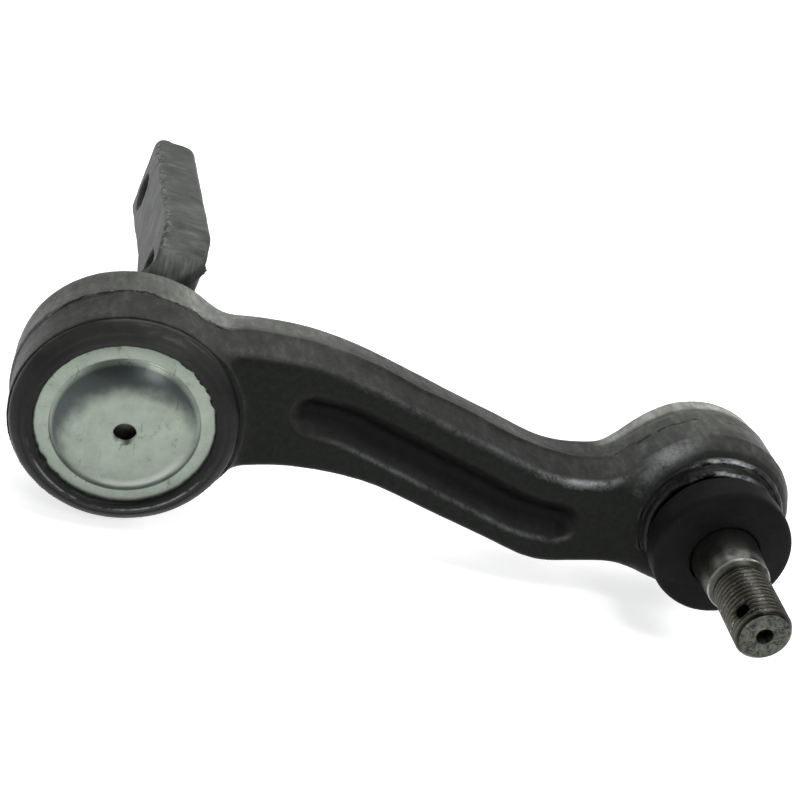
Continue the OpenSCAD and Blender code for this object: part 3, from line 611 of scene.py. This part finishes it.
def lower(x, z):
    """Distance below the arm's lower edge: arch, straight fall, belly, rise."""
    arch = ARCH_R - np.hypot(x - ARCH[0], z - ARCH[1])
    x0, z0 = ARCH[0] + ARCH_R * math.sin(FALL), ARCH[1] + ARCH_R * math.cos(FALL)
    line = -(x - x0) * math.sin(FALL) - (z - z0) * math.cos(FALL)
    belly = np.hypot(x - BELLY[0], z - BELLY[1]) - BELLY_R
    rise = LOWER_RISE
    x1, z1 = BELLY[0] + BELLY_R * math.sin(rise), BELLY[1] - BELLY_R * math.cos(rise)
    up = (x - x1) * math.sin(rise) - (z - z1) * math.cos(rise)
    return np.where(x < x0, arch, np.where(x < LINE_END_LOW, line, np.where(x < x1, belly, up)))


def pocket_path():
    """The pocket's middle line: level end, bend, fall, bend, level end."""
    tip, fall, bend, end = math.radians(4), math.radians(18.4), 34.0, 4.5
    p = np.array([POCKET_START, 9.0])
    pts = [p]
    p = p + end * np.array([math.cos(tip), -math.sin(tip)])
    pts.append(p)
    c = p - bend * np.array([math.sin(tip), math.cos(tip)])
    for t in np.linspace(tip, fall, 7)[1:]:
        pts.append(c + bend * np.array([math.sin(t), math.cos(t)]))
    chord = 2 * bend * (math.sin(fall) - math.sin(tip)) + 2 * end * math.cos(tip)
    run = (POCKET_END - POCKET_START - chord) / math.cos(fall)
    p = pts[-1] + run * np.array([math.cos(fall), -math.sin(fall)])
    pts.append(p)
    c = p + bend * np.array([math.sin(fall), math.cos(fall)])
    for t in np.linspace(fall, tip, 7)[1:]:
        pts.append(c - bend * np.array([math.sin(t), math.cos(t)]))
    pts.append(pts[-1] + end * np.array([math.cos(tip), -math.sin(tip)]))
    return np.array(pts)


PATH = pocket_path()


def path_distance(x, z):
    """Distance to the pocket's middle line, seen along Y."""
    d = np.full(x.shape, 1e9)
    for a, b in zip(PATH[:-1], PATH[1:]):
        e = b - a
        t = np.clip(((x - a[0]) * e[0] + (z - a[1]) * e[1]) / (e @ e), 0, 1)
        d = np.minimum(d, np.hypot(x - a[0] - e[0] * t, z - a[1] - e[1] * t))
    return d


PIVOT_WALL = [(0, 13.2), (25.7, 13.2), (26.7, 12.85), (27.25, 12.0), (27.45, 10.8),
              (27.75, 0.6), (27.62, -13.0), (26.6, -13.25), (0, -13.25)]
BALL_WALL = [(0, 12.4), (20.2, 12.4), (21.2, 12.0), (21.7, 11.0), (21.9, 5.6), (22.6, 4.4),
             (22.85, 3.0), (22.95, -8.0), (23.1, -8.8), (22.7, -9.8), (22.2, -11.6),
             (21.2, -13.2), (20.1, -14.2), (19.1, -14.9), (15.2, -15.2), (0, -15.2)]


def cavity(r, y, *steps):
    """The bores of a socket, each with its radius and its first and last y."""
    return np.minimum.reduce([np.maximum(r - radius, np.maximum(first - y, y - last))
                              for radius, first, last in steps])


def arm_field(p):
    """Signed distance to the forging, with y counted from its parting plane."""
    x, y, z = p[:, 0], p[:, 1] - PART, p[:, 2]
    v = np.abs(y)
    edge = np.maximum(upper(x, z), lower(x, z)) + 0.35 + np.maximum(v - 0.55, 0) * DRAFT
    # The two dies meet a little out of step, and the trimmed flash stands proud.
    wander = 0.35 * waves(np.stack([x, np.zeros_like(x), z], -1), 17, 11, 2)
    edge = edge - 0.30 / (1 + np.exp(-(y - wander) / 0.22))
    edge = edge - 0.30 * np.exp(-((y - wander) / 0.55) ** 2)
    mid = (x > 20) & (x < 142)
    channel = np.zeros(len(x))
    dist = path_distance(x[mid], z[mid])
    channel[mid] = POCKET_DEPTH * np.clip(1 - (dist / POCKET_HALF) ** 2, 0, 1) ** 1.35
    out = round_max(edge, v - WEB_HALF + channel, 2.2)
    out = np.maximum(out, np.maximum(WEB_FROM - x, x - WEB_TO))
    near_pivot = x < 52
    if near_pivot.any():
        q = p[near_pivot]
        r, a = np.hypot(q[:, 0], q[:, 2]), np.arctan2(q[:, 2], q[:, 0])
        yy = q[:, 1] - PART
        body = polygon_field(r, yy, PIVOT_WALL)
        line = 0.5 * ring_waves(a, 5, 5)
        body = body - 0.18 * np.exp(-((yy - line) / 0.5) ** 2) * (r > 24)
        body = body - 0.34 / (1 + np.exp(-(yy - line) / 0.2)) * (r > 24)
        out[near_pivot] = soft_min(out[near_pivot], body, 4.2)
    near_ball = x > 108
    if near_ball.any():
        q = p[near_ball]
        body = polygon_field(np.hypot(q[:, 0] - ARM, q[:, 2]), q[:, 1] - PART, BALL_WALL)
        out[near_ball] = soft_min(out[near_ball], body, 7.0)
    out = out + 0.09 * waves(p, 16, 3, 3)
    # Bores: the sockets stay open where the bearing parts sit.
    far = 999.0
    pivot_bores = cavity(np.hypot(x, z), y, (19.9, -13.6, -6.0), (14.35, -14, 14),
                         (16.8, 10.2, 14), (22.9, -far, -12.1))
    ball_bores = cavity(np.hypot(x - ARM, z), y, (16.7, -10.9, 8.9), (18.9, 8.4, 11.15),
                        (17.6, 10.9, far), (14.6, -far, -14.0), (12.0, -far, -9.0))
    return np.maximum(out, -np.minimum(pivot_bores, ball_bores))


verts, faces = surface_nets(arm_field, (-30, 1.5, -30), (176.5, 34, 29.5),
                            0.63)
arm = new_mesh("arm_forging", verts, faces, FORGING)


def paint_arm(ob):
    """Brightness of the paler sides with a painted reflection low on the ball fillet, painted
    shade in the pocket, painted highlights along edges, and where the flash shows.
    """
    p, no = places(ob)
    x, y, z = p.T
    r, rb = np.hypot(x, z), np.hypot(x - ARM, z)
    rear = step(y + 1.6 * waves(p, 14, 77), PART - 2.0, PART + 4.5)
    at_pivot, at_ball = 1 - step(r, 29.5, 34), 1 - step(rb, 23.5, 30)
    along = step(x, 36, 66)
    arm_level = (0.050 - 0.026 * along) * (1 - rear) + (0.135 - 0.085 * along) * rear
    behind = step(y, PART - 0.6, PART)
    pivot_level = 0.044 * (1 - behind) + behind * (0.085 + 0.12 * step(x, -8, 15))
    ball_level = 0.048 + 0.038 * step(y, 9, 16) + 0.20 * step(y, 25.6, 27.4)
    # A painted reflection: lighter low on the fillet into the ball socket.
    fillet_sheen = np.exp(-((x - 131) / 6) ** 2 - ((z + 21) / 5) ** 2) * (y < 14)
    level = arm_level * (1 - at_pivot) * (1 - at_ball)
    level += pivot_level * at_pivot + ball_level * at_ball
    paint(ob, "level", level + 0.24 * fillet_sheen)
    sideways = step(np.abs(no[:, 0]) + np.abs(no[:, 2]), 0.5, 0.9)
    paint(ob, "ends", np.maximum(at_pivot, at_ball) * sideways)
    shade, edge_glint = np.ones(len(p)), np.zeros(len(p))
    mid = (x > 30) & (x < 128) & (np.abs(y - PART) > 5)
    dist = path_distance(x[mid], z[mid])
    above = z[mid] - np.interp(x[mid], PATH[:, 0], PATH[:, 1])
    inside = 1 - step(dist, 4.6, 6.0)
    shade[mid] = 1 - inside * (0.80 - 0.35 * step(-above, -1.5, 3.0))
    # A painted highlight: a thin bright line along the pocket's lower lip.
    lip = np.exp(-((dist - 5.7) / 0.42) ** 2) * step(-above, 1.0, 4.0)
    edge_glint[mid] = 0.30 * lip * step(x[mid], 40, 62)
    # Painted highlights along the upper front edge, strongest near the ball socket, and on the
    # upper fillet into the ball socket.
    flat = np.abs(upper(x, z) + 0.75) < 2.2
    edge = np.exp(-((np.abs(y - PART) - 10.4) / 0.8) ** 2) * flat * step(x, 42, 60)
    edge = edge * (0.22 + 0.75 * np.exp(-((x - 116) / 10) ** 2)) * (x < 130)
    oily = np.exp(-((rb - 22.5) / 1.6) ** 2 - ((x - 136) / 5) ** 2) * (z > 4) * (y < 11)
    edge = np.maximum(edge, 0.75 * oily)
    paint(ob, "shade", shade)
    paint(ob, "edge_glint", np.clip(edge_glint + edge, 0, 1))


paint_arm(arm)
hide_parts("idler_arm")
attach(arm, "arm")


# ---------------------------------------------------------------- rolled lip of the pivot socket
def lip_warp(r, y, a):
    """The lip's outer foot and its torn inner edge wander a little."""
    inner = np.clip((22.6 - r) / 1.2, 0, 1) * (y < 3.99)
    torn = np.exp(-((a - 0.75) / 0.38) ** 2) + np.exp(-((a - 3.9) / 0.30) ** 2)
    r = r + inner * (0.07 + 0.42 * torn) * (ring_waves(a, 26, 8, 5) - 0.25)
    y = y + 0.05 * ring_waves(a, 7, 9) * (y < 8)
    return r, y


lip_profile = rounded([
    (22.75, 5.2), (26.0, 8.6), (27.05, 8.2), (27.28, 6.6), (27.2, 5.7), (26.75, 4.9),
    (25.7, 4.1), (24.9, 3.62), (24.3, 3.52), (23.7, 3.2), (22.9, 2.86), (22.1, 2.95),
    (21.55, 3.35), (21.28, 3.95), (21.5, 4.35), (22.75, 5.2)], 0.3, 2)
lip = revolve("pivot_lip", lip_profile, 0.0, LIP, 360, lip_warp, 60)
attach(lip, "arm")


# ---------------------------------------------------------------- cover plate
def dome(r):
    """Y of the crowned middle: flat to 8.2 mm, then ever steeper to its foot."""
    s = np.maximum(r - 8.2, 0)
    return 0.03 + 0.0405 * s * s


tapped = []          # three grooves inside the grease hole
for i in range(3):
    tapped += [(GREASE_R, 2.1 - 0.7 * i), (GREASE_R + 0.4, 1.75 - 0.7 * i)]
mouth = (GREASE_R + 0.03, 0.22)
cover_profile = [mouth, (2.95, 0.05)]
cover_profile += [(r, float(dome(r))) for r in np.linspace(3.4, 17.75, 60)]
cover_profile += [(17.95, 3.96), (18.3, 4.0), (22.35, 4.0), (22.5, 4.15), (22.5, 6.3),
                  (22.4, 6.4), (15.6, 6.4), (15.0, 4.2), (13.4, 2.6), (2.9, 2.4)]
cover_profile += tapped + [mouth]
cover = revolve("cover_disc", cover_profile, 0.0, ZINC, 300, None, 50)
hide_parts("pivot_cover_plate")
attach(cover, "arm")


# ---------------------------------------------------------------- ball stud
PITCH, MAJOR, MINOR = 25.4 / 18, 7.144, 6.30
AROUND, ROWS = 144, 14


def thread_radius(y, a):
    """Radius of the thread at a place y and an angle a round the stud."""
    phase = (y / PITCH + a / (2 * math.pi)) % 1.0
    tri = np.abs(phase * 2 - 1)
    crest = np.clip((tri - 0.12) / 0.76, 0, 1)
    fade = np.clip((THREAD_START - y) / 1.4, 0, 1)
    r = MINOR + (MAJOR - 0.03 - MINOR) * crest * fade
    # Round both mouths of the cotter hole the threads are broken down.
    q = np.stack([MAJOR * np.cos(a), y - TIP - COTTER_INSET, MAJOR * np.sin(a)], -1)
    d = np.array((-math.cos(math.radians(30)), 0, math.sin(math.radians(30))))
    off = np.sqrt(np.maximum((q ** 2).sum(-1) - (q @ d) ** 2, 0))
    r = np.minimum(r, MINOR + 0.25 + np.maximum(off - COTTER_R - 0.3, 0) * 0.9)
    # The tip is chamfered down to the core.
    return np.minimum(r, np.maximum(MAJOR - 0.02 - np.maximum(TIP + 1.0 - y, 0), 6.12))


def stud_mesh():
    """Rings for ball, neck and taper, rows that follow the helix for the thread, then the tip."""
    angle = np.linspace(0, 2 * math.pi, AROUND, endpoint=False)

    def row(r, y):
        level = np.broadcast_to(y, angle.shape)
        return np.stack([ARM + r * np.cos(angle), level, r * np.sin(angle)], -1)

    ball_end = BALL_Y + math.sqrt(BALL_R ** 2 - 5.0 ** 2)      # flat of radius 5 behind the ball
    prof = [(0.0, ball_end)]
    for t in np.radians(np.linspace(86, -42, 40)):
        r, y = BALL_R * math.cos(t), BALL_Y + BALL_R * math.sin(t)
        if y < ball_end - 0.05 and r > NECK_R:
            prof.append((r, y))
    prof += [(NECK_R, 7.3), (NECK_R, 4.6), (7.7, -2.0), (8.46, -4.7), (8.96, -5.3)]
    prof += [(8.96 - 1.06 * t, -5.3 - 17.0 * t) for t in np.linspace(0.1, 0.96, 10)]
    prof += [(7.91, -22.0), (7.85, TAPER_END + 0.05), (7.65, -22.45), (7.1, -22.85),
             (6.6, -23.15), (6.38, -23.4)]
    rows = [row(r, y) for r, y in prof]
    first = len(rows)
    dy = PITCH / ROWS
    for j in range(ROWS + int(math.ceil((THREAD_START - TIP) / dy)) + 1):
        y = THREAD_START + (ROWS - j) * dy - angle / (2 * math.pi) * PITCH
        y = np.clip(y, TIP, THREAD_START)
        rows.append(row(thread_radius(y, angle), y))
    last = len(rows) - 1
    rows += [row(r, TIP + y) for r, y in ((5.6, 0), (2.3, 0), (2.06, 0.08), (1.95, 0.3),
                                          (0.9, 1.9), (0.9, 4.4), (0.0, 4.9))]
    faces = []
    for j in range(len(rows) - 1):
        for i in range(AROUND):
            k, a0, a1 = (i + 1) % AROUND, j, j + 1
            if k == 0 and first <= j < last:
                # After a full turn a thread's row runs on into the row one pitch further.
                a0, a1 = min(j + ROWS, last), min(j + 1 + ROWS, last)
            faces.append((j * AROUND + i, a0 * AROUND + k, a1 * AROUND + k, (j + 1) * AROUND + i))
    return np.concatenate(rows), faces


def drill_cotter_hole(ob):
    """Cuts the cotter hole right through the stud, 30 degrees off the level."""
    bm = bmesh.new()
    turn = Matrix.Rotation(math.radians(-150), 4, "Y") @ Matrix.Rotation(math.pi / 2, 4, "Y")
    spot = Matrix.Translation(Vector((ARM, TIP + COTTER_INSET, 0)) * MM)
    bmesh.ops.create_cone(bm, cap_ends=True, segments=40, radius1=COTTER_R * MM,
                          radius2=COTTER_R * MM, depth=30 * MM, matrix=spot @ turn)
    drill = bpy.data.meshes.new("drill")
    bm.to_mesh(drill)
    bm.free()
    tool = bpy.data.objects.new("drill", drill)
    bpy.context.scene.collection.objects.link(tool)
    cut = ob.modifiers.new("hole", "BOOLEAN")
    cut.object, cut.operation, cut.solver = tool, "DIFFERENCE", "EXACT"
    evaluated = ob.evaluated_get(bpy.context.evaluated_depsgraph_get())
    done = bpy.data.meshes.new_from_object(evaluated)
    ob.modifiers.clear()
    ob.data = done
    bpy.data.objects.remove(tool)
    done.materials.clear()
    done.materials.append(STUD)
    for f in done.polygons:
        f.material_index = 0
        f.use_smooth = True


verts, faces = stud_mesh()
stud = new_mesh("stud", verts, faces, STUD)
outward(stud)
drill_cotter_hole(stud)
split_sharp(stud, 38)
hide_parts("ball_stud")
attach(stud, "stud")


# ---------------------------------------------------------------- rim of the ball socket
def rim_warp(r, y, a):
    """Two lumpy rolled ridges."""
    front = y < 5.6
    outer_lumps, inner_lumps = 0.14 * ring_waves(a, 9, 51, 4), 0.24 * ring_waves(a, 8, 57, 4)
    y = y + front * np.where(r > 17.9, outer_lumps, inner_lumps)
    return r + front * 0.07 * ring_waves(a, 12, 53, 4), y


rim_profile = rounded([
    (15.2, 6.6), (15.1, 3.6), (15.6, 2.4), (16.5, 1.85), (17.3, 2.3), (17.75, 3.7),
    (18.2, 4.4), (18.7, 4.12), (19.2, 4.2), (19.7, 4.7), (20.15, 5.8), (20.0, 7.4),
    (18.0, 8.0), (15.2, 6.6)], 0.3, 2)
rim = revolve("ball_rim", rim_profile, ARM, RIM, 300, rim_warp, 60)
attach(rim, "arm")


# ---------------------------------------------------------------- dust boot
def boot_warp(r, y, a):
    """The boot's front is a little out of round."""
    lump = ring_waves(a, 3, 31, 2)
    return r + 0.12 * lump * (y < 0), y + 0.15 * lump * np.clip((r - 11) / 6, 0, 1) * (y < 0)


def boot_shell(name, outer, inner):
    """One closed shell of the boot from its outer line and its inner line."""
    return revolve(name, outer + inner[::-1] + [outer[0]], ARM, RUBBER, 220, boot_warp, 70)


SEAM = (18.0, -4.6)
rear_line = rounded([
    (14.3, 5.1), (14.35, 4.2), (14.3, 3.6), (14.2, 1.2), (14.9, 0.45), (16.5, 0.2),
    (17.3, -0.3), (17.85, -1.6), (18.0, -3.6)], 0.5, 2) + [(18.0, -4.2), SEAM]
rear_inside = [(13.3, 5.1), (13.3, 3.4), (13.1, 2.8), (13.0, 0.4), (13.7, -0.9),
               (16.0, -2.4), (16.2, -4.6)]
front_line = [SEAM, (18.0, -5.0)] + rounded([
    (18.0, -5.6), (17.95, -8.0), (17.65, -9.0), (16.9, -9.6), (15.6, -9.85), (13.6, -10.15),
    (12.0, -10.45), (10.6, -10.62), (9.6, -10.7), (9.0, -10.62), (8.86, -10.2)], 0.5, 2)
front_inside = [(16.2, -4.6), (15.5, -6.6), (14.1, -7.8), (11.7, -7.35), (10.65, -7.4),
                (10.6, -9.2), (8.95, -9.3)]
boot = boot_shell("boot", rear_line, rear_inside)
boot_front = boot_shell("boot_front", front_line, front_inside)
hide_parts("dust_boot")
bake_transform(boot)
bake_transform(boot_front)


# ---------------------------------------------------------------- frame bracket
TURN, LEAN = math.radians(8), math.radians(2)    # of the plate, about Y and about its upright
PLATE_MID, PLATE_HALF = 4.5, 6.0
NOSE_V = 98.4                                    # centre of the plate's rounded end
BOLTS, BOLT_R = ((39.6, 22.7), (90.4, 22.1)), 5.2
SPINDLE_Y = 35.2                                 # the forging starts here, the spindle before it


def plate_coords(p):
    """Across the plate, along it and up it."""
    x, y, z = p[:, 0], p[:, 1] - 4.0, p[:, 2]
    a = x * math.cos(TURN) - z * math.sin(TURN)
    w = x * math.sin(TURN) + z * math.cos(TURN)
    return a * math.cos(LEAN) + y * math.sin(LEAN), -a * math.sin(LEAN) + y * math.cos(LEAN), w


SIDE = [(31.8, 30.6), (33.5, 33.8), (35.8, 36.5), (38.5, 37.45), (103.6, 33.96), (104.6, 33.2),
        (104.8, 32.0), (103.0, 12.8), (102.6, 12.0), (101.8, 11.6), (61.0, 15.0), (52.8, 13.7),
        (47.0, 10.9), (42.5, 6.0), (38.7, -2.4), (37.2, -12.0), (31.8, -12.0)]
HUB = [(0, SPINDLE_Y), (19.6, SPINDLE_Y), (20.4, 36.0), (20.4, 37.6), (19.2, 38.8),
       (16, 39.7), (13.4, 41.8), (11.5, 46.8), (10.5, 52.8), (9, 54.3), (0, 54.3)]


def neck_field(u, v, w):
    """The hub's wall: two unequal discs joined, their outline smaller towards the front."""
    low, high, rb = (-7.7, 8.2), (10.6, 31.6), 1.2
    t = np.clip((v - 31.75) / 1.7, 0, 1)
    ra = 0.8 + 8.1 * t
    ex, ez = high[0] - 1.5 * t - low[0], high[1] + 3.6 * t - low[1]
    length = np.hypot(ex, ez)
    ex, ez = ex / length, ez / length
    px, pz = u - low[0], w - low[1]
    along = px * ex + pz * ez
    off = np.abs(px * ez - pz * ex)
    slope = (ra - rb) / length
    cosine = np.sqrt(1 - slope ** 2)
    k = off * -slope + along * cosine
    d = np.where(k < 0, np.hypot(off, along) - ra,
                 np.where(k > cosine * length, np.hypot(off, along - length) - rb,
                          off * cosine + along * slope - ra))
    return round_max(d, np.abs(v - 32.75) - 1.3, 0.7)


def bracket_field(p):
    """Signed distance to the forging: plate, hub and neck, with two bolt holes."""
    u, v, w = plate_coords(p)
    side = polygon_field(v, w, SIDE)
    slab = np.abs(u - PLATE_MID) - PLATE_HALF
    nose = np.where(v > NOSE_V, np.hypot(u - PLATE_MID, v - NOSE_V) - PLATE_HALF - 0.4, -1.0)
    plate = round_max(round_max(side, slab, 2.1), nose, 0.6)
    hub = polygon_field(np.hypot(p[:, 0], p[:, 2]), p[:, 1], HUB)
    out = soft_min(soft_min(plate, hub, 4.0), neck_field(u, v, w), 2.6)
    # A plane that dives forward from the plate's top cuts off all that stands above it.
    front = -0.120 * (u + 1.0) - 0.690 * (v - 39.5) + 0.715 * (w - 37.2)
    out = round_max(out, front, 1.6) + 0.08 * waves(p, 13, 41, 3)
    for at_v, at_w in BOLTS:
        out = np.maximum(out, BOLT_R - np.hypot(v - at_v, w - at_w))
    return np.maximum(out, SPINDLE_Y - p[:, 1])


verts, faces = surface_nets(bracket_field, (-22, 34.4, -22), (24, 110.5, 40),
                            0.6)
bracket = new_mesh("bracket_forging", verts, faces, BRACKET)


def paint_bracket(ob):
    """The front is painted paler as lit, but for a corner face painted darker as shade; painted
    highlight specks go along the top's front corner.
    """
    p, no = places(ob)
    u, v, w = plate_coords(p)
    # Painted light on the faces toward the front, painted shade on a small corner face.
    front = step(-no[:, 1], 0.35, 0.7) * (v < 42)
    shade_facet = polygon_field(p[:, 0], p[:, 2], [(14.4, 31.8), (7.4, 25.3), (12.6, 22.6)])
    inside = 1 - step(shade_facet, -0.3, 0.5)
    paint(ob, "level", 1 + front * (0.9 * (1 - inside) - 0.25 * inside))
    # Painted highlight specks along the top's rounded front corner.
    corner = np.exp(-(((u + 0.9) / 0.9) ** 2)) * step(w, 30.5, 32.5) * (no[:, 2] > 0.2)
    paint(ob, "edge_glint", np.clip(corner, 0, 1) * 0.8)


paint_bracket(bracket)
spindle_profile = [(0.0, 36.0), (11.0, 36.0), (11.0, 13.35), (10.6, 12.9), (9.5, 12.9),
                   (9.5, 5.6), (8.9, 5.2), (0.0, 5.2)]
spindle = revolve("spindle", rounded(spindle_profile, 0.2, 1), 0.0, SPINDLE, 96, None, 30)
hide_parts("frame_bracket")
for piece in (bracket, spindle):
    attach(piece, "bracket")


# ---------------------------------------------------------------- looks of the other solids
others = {
    "cover_gasket": plain_look("gasket_fibre", (0.06, 0.05, 0.04), (0.11, 0.095, 0.08), 0.8),
    "dust_seal": RUBBER,
    "rear_thrust_washer": steel_look("washer_steel", (0.30, 0.30, 0.30), (0.45, 0.45, 0.44), 0.3,
                                     ring=True),
    "preload_spring": steel_look("spring_steel", (0.08, 0.085, 0.10), (0.16, 0.165, 0.18), 0.34),
    "spindle_nut": steel_look("nut_steel", (0.28, 0.28, 0.27), (0.42, 0.42, 0.40), 0.36),
    "front_bush": steel_look("bush_bronze", (0.42, 0.27, 0.12), (0.60, 0.42, 0.21), 0.3,
                             ring=True),
    "bearing_liner": plain_look("liner_plastic", (0.62, 0.60, 0.52), (0.74, 0.72, 0.64), 0.4),
    "front_seat": plain_look("seat_plastic", (0.58, 0.55, 0.48), (0.70, 0.67, 0.60), 0.45),
    "socket_end_plate": PLATE,
    "neck_ring": plain_look("ring_plastic", (0.012, 0.012, 0.013), (0.025, 0.025, 0.026), 0.45),
}
for same, as_node in (("front_thrust_washer", "rear_thrust_washer"), ("rear_bush", "front_bush"),
                      ("rear_seat", "front_seat"), ("seat_spring", "preload_spring"),
                      ("boot_band", "rear_thrust_washer")):
    others[same] = others[as_node]
for node, material in others.items():
    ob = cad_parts[node]
    ob.data.materials.clear()
    ob.data.materials.append(material)


# ---------------------------------------------------------------- camera, light and floor
scene = bpy.context.scene
scene.view_settings.view_transform = "Standard"
right = Vector((0.9571, -0.1200, 0.2636))
up = Vector((-0.1734, 0.4914, 0.8535))
back = right.cross(up).normalized()
up = back.cross(right).normalized()
data = bpy.data.cameras.new("camera")
data.sensor_width, data.lens = 36.0, 74.25
data.clip_start, data.clip_end = 0.01, 20.0
camera = bpy.data.objects.new("camera", data)
scene.collection.objects.link(camera)
camera.matrix_world = Matrix((
    (right.x, up.x, back.x, -0.0294), (right.y, up.y, back.y, -0.3378),
    (right.z, up.z, back.z, 0.1980), (0, 0, 0, 1)))
scene.camera = camera


def white_to_camera(look, shade, keep):
    """White to the camera and in reflections; keep is the share that still takes shadow."""
    path = look.add("ShaderNodeLightPath")
    seen = path.outputs["Is Camera Ray"]
    for other in ("Is Glossy Ray", "Is Transmission Ray"):
        seen = look.calc("MAXIMUM", seen, path.outputs[other])
    glow = look.add("ShaderNodeEmission", {"Color": (1, 1, 1, 1), "Strength": 1.0 - keep})
    none = look.add("ShaderNodeEmission", {"Color": (0, 0, 0, 1), "Strength": 0.0})
    pick = look.add("ShaderNodeMixShader", {0: seen, 1: none.outputs[0], 2: glow.outputs[0]})
    both = look.add("ShaderNodeAddShader", {0: shade, 1: pick.outputs[0]})
    look.t.links.new(both.outputs[0], look.out.inputs[0])


k = Look("floor")
grey = k.ramp(k.noise(300, 2), (0.3, 0.83), (0.7, 0.85))
white_to_camera(k, k.add("ShaderNodeBsdfDiffuse", {"Color": grey}).outputs[0], 0.30)
FLOOR_Z = -0.0310
bpy.ops.mesh.primitive_plane_add(size=6, location=(0.1, 0.3, FLOOR_Z))
floor = bpy.context.active_object
floor.name = "floor"
floor.data.materials.append(k.m)

world = bpy.data.worlds.new("studio")
scene.world = world
world.use_nodes = True
t = world.node_tree
t.nodes.clear()
out = t.nodes.new("ShaderNodeOutputWorld")
path = t.nodes.new("ShaderNodeLightPath")
soft = t.nodes.new("ShaderNodeBackground")
soft.inputs[0].default_value = (0.92, 0.96, 1.0, 1)
soft.inputs[1].default_value = 0.30
# The backdrop: white up to a low height, darker above, as in a studio.
backdrop = t.nodes.new("ShaderNodeBackground")
coord = t.nodes.new("ShaderNodeTexCoord")
axes = t.nodes.new("ShaderNodeSeparateXYZ")
fall = t.nodes.new("ShaderNodeMapRange")
for name, value in (("From Min", 0.24), ("From Max", 0.46), ("To Min", 1.0), ("To Max", 0.12)):
    fall.inputs[name].default_value = value
t.links.new(coord.outputs["Generated"], axes.inputs[0])
t.links.new(axes.outputs[2], fall.inputs[0])
t.links.new(fall.outputs[0], backdrop.inputs[1])
backdrop.inputs[0].default_value = (1, 1, 1, 1)
seen = path.outputs["Is Camera Ray"]
for other in ("Is Glossy Ray", "Is Transmission Ray"):
    most = t.nodes.new("ShaderNodeMath")
    most.operation = "MAXIMUM"
    t.links.new(seen, most.inputs[0])
    t.links.new(path.outputs[other], most.inputs[1])
    seen = most.outputs[0]
pick = t.nodes.new("ShaderNodeMixShader")
t.links.new(seen, pick.inputs[0])
t.links.new(soft.outputs[0], pick.inputs[1])
t.links.new(backdrop.outputs[0], pick.inputs[2])
t.links.new(pick.outputs[0], out.inputs[0])


def soft_box(name, place, aim, size, power):
    """A flat lamp that faces its aim; sizes in metres, power in watts."""
    lamp = bpy.data.lights.new(name, "AREA")
    lamp.shape, lamp.size, lamp.size_y = "RECTANGLE", size[0], size[1]
    lamp.energy = power
    ob = bpy.data.objects.new(name, lamp)
    scene.collection.objects.link(ob)
    ob.location = place
    ob.visible_camera = False
    ob.rotation_euler = (Vector(aim) - Vector(place)).to_track_quat("-Z", "Y").to_euler()


middle = (0.07, 0.03, 0.0)
soft_box("overhead", (0.12, 0.52, 0.88), middle, (1.1, 0.9), 6.5)
soft_box("right_key", (0.75, -0.25, 0.75), middle, (0.3, 0.3), 2.2)
soft_box("left_fill", (-0.8, -0.3, 0.4), middle, (0.5, 0.5), 0.6)
soft_box("front_top", (0.05, -0.28, 0.85), middle, (0.16, 0.16), 1.3)
soft_box("right_front", (0.33, -0.70, 0.54), (0, 0, 0), (0.20, 0.20), 1.6)
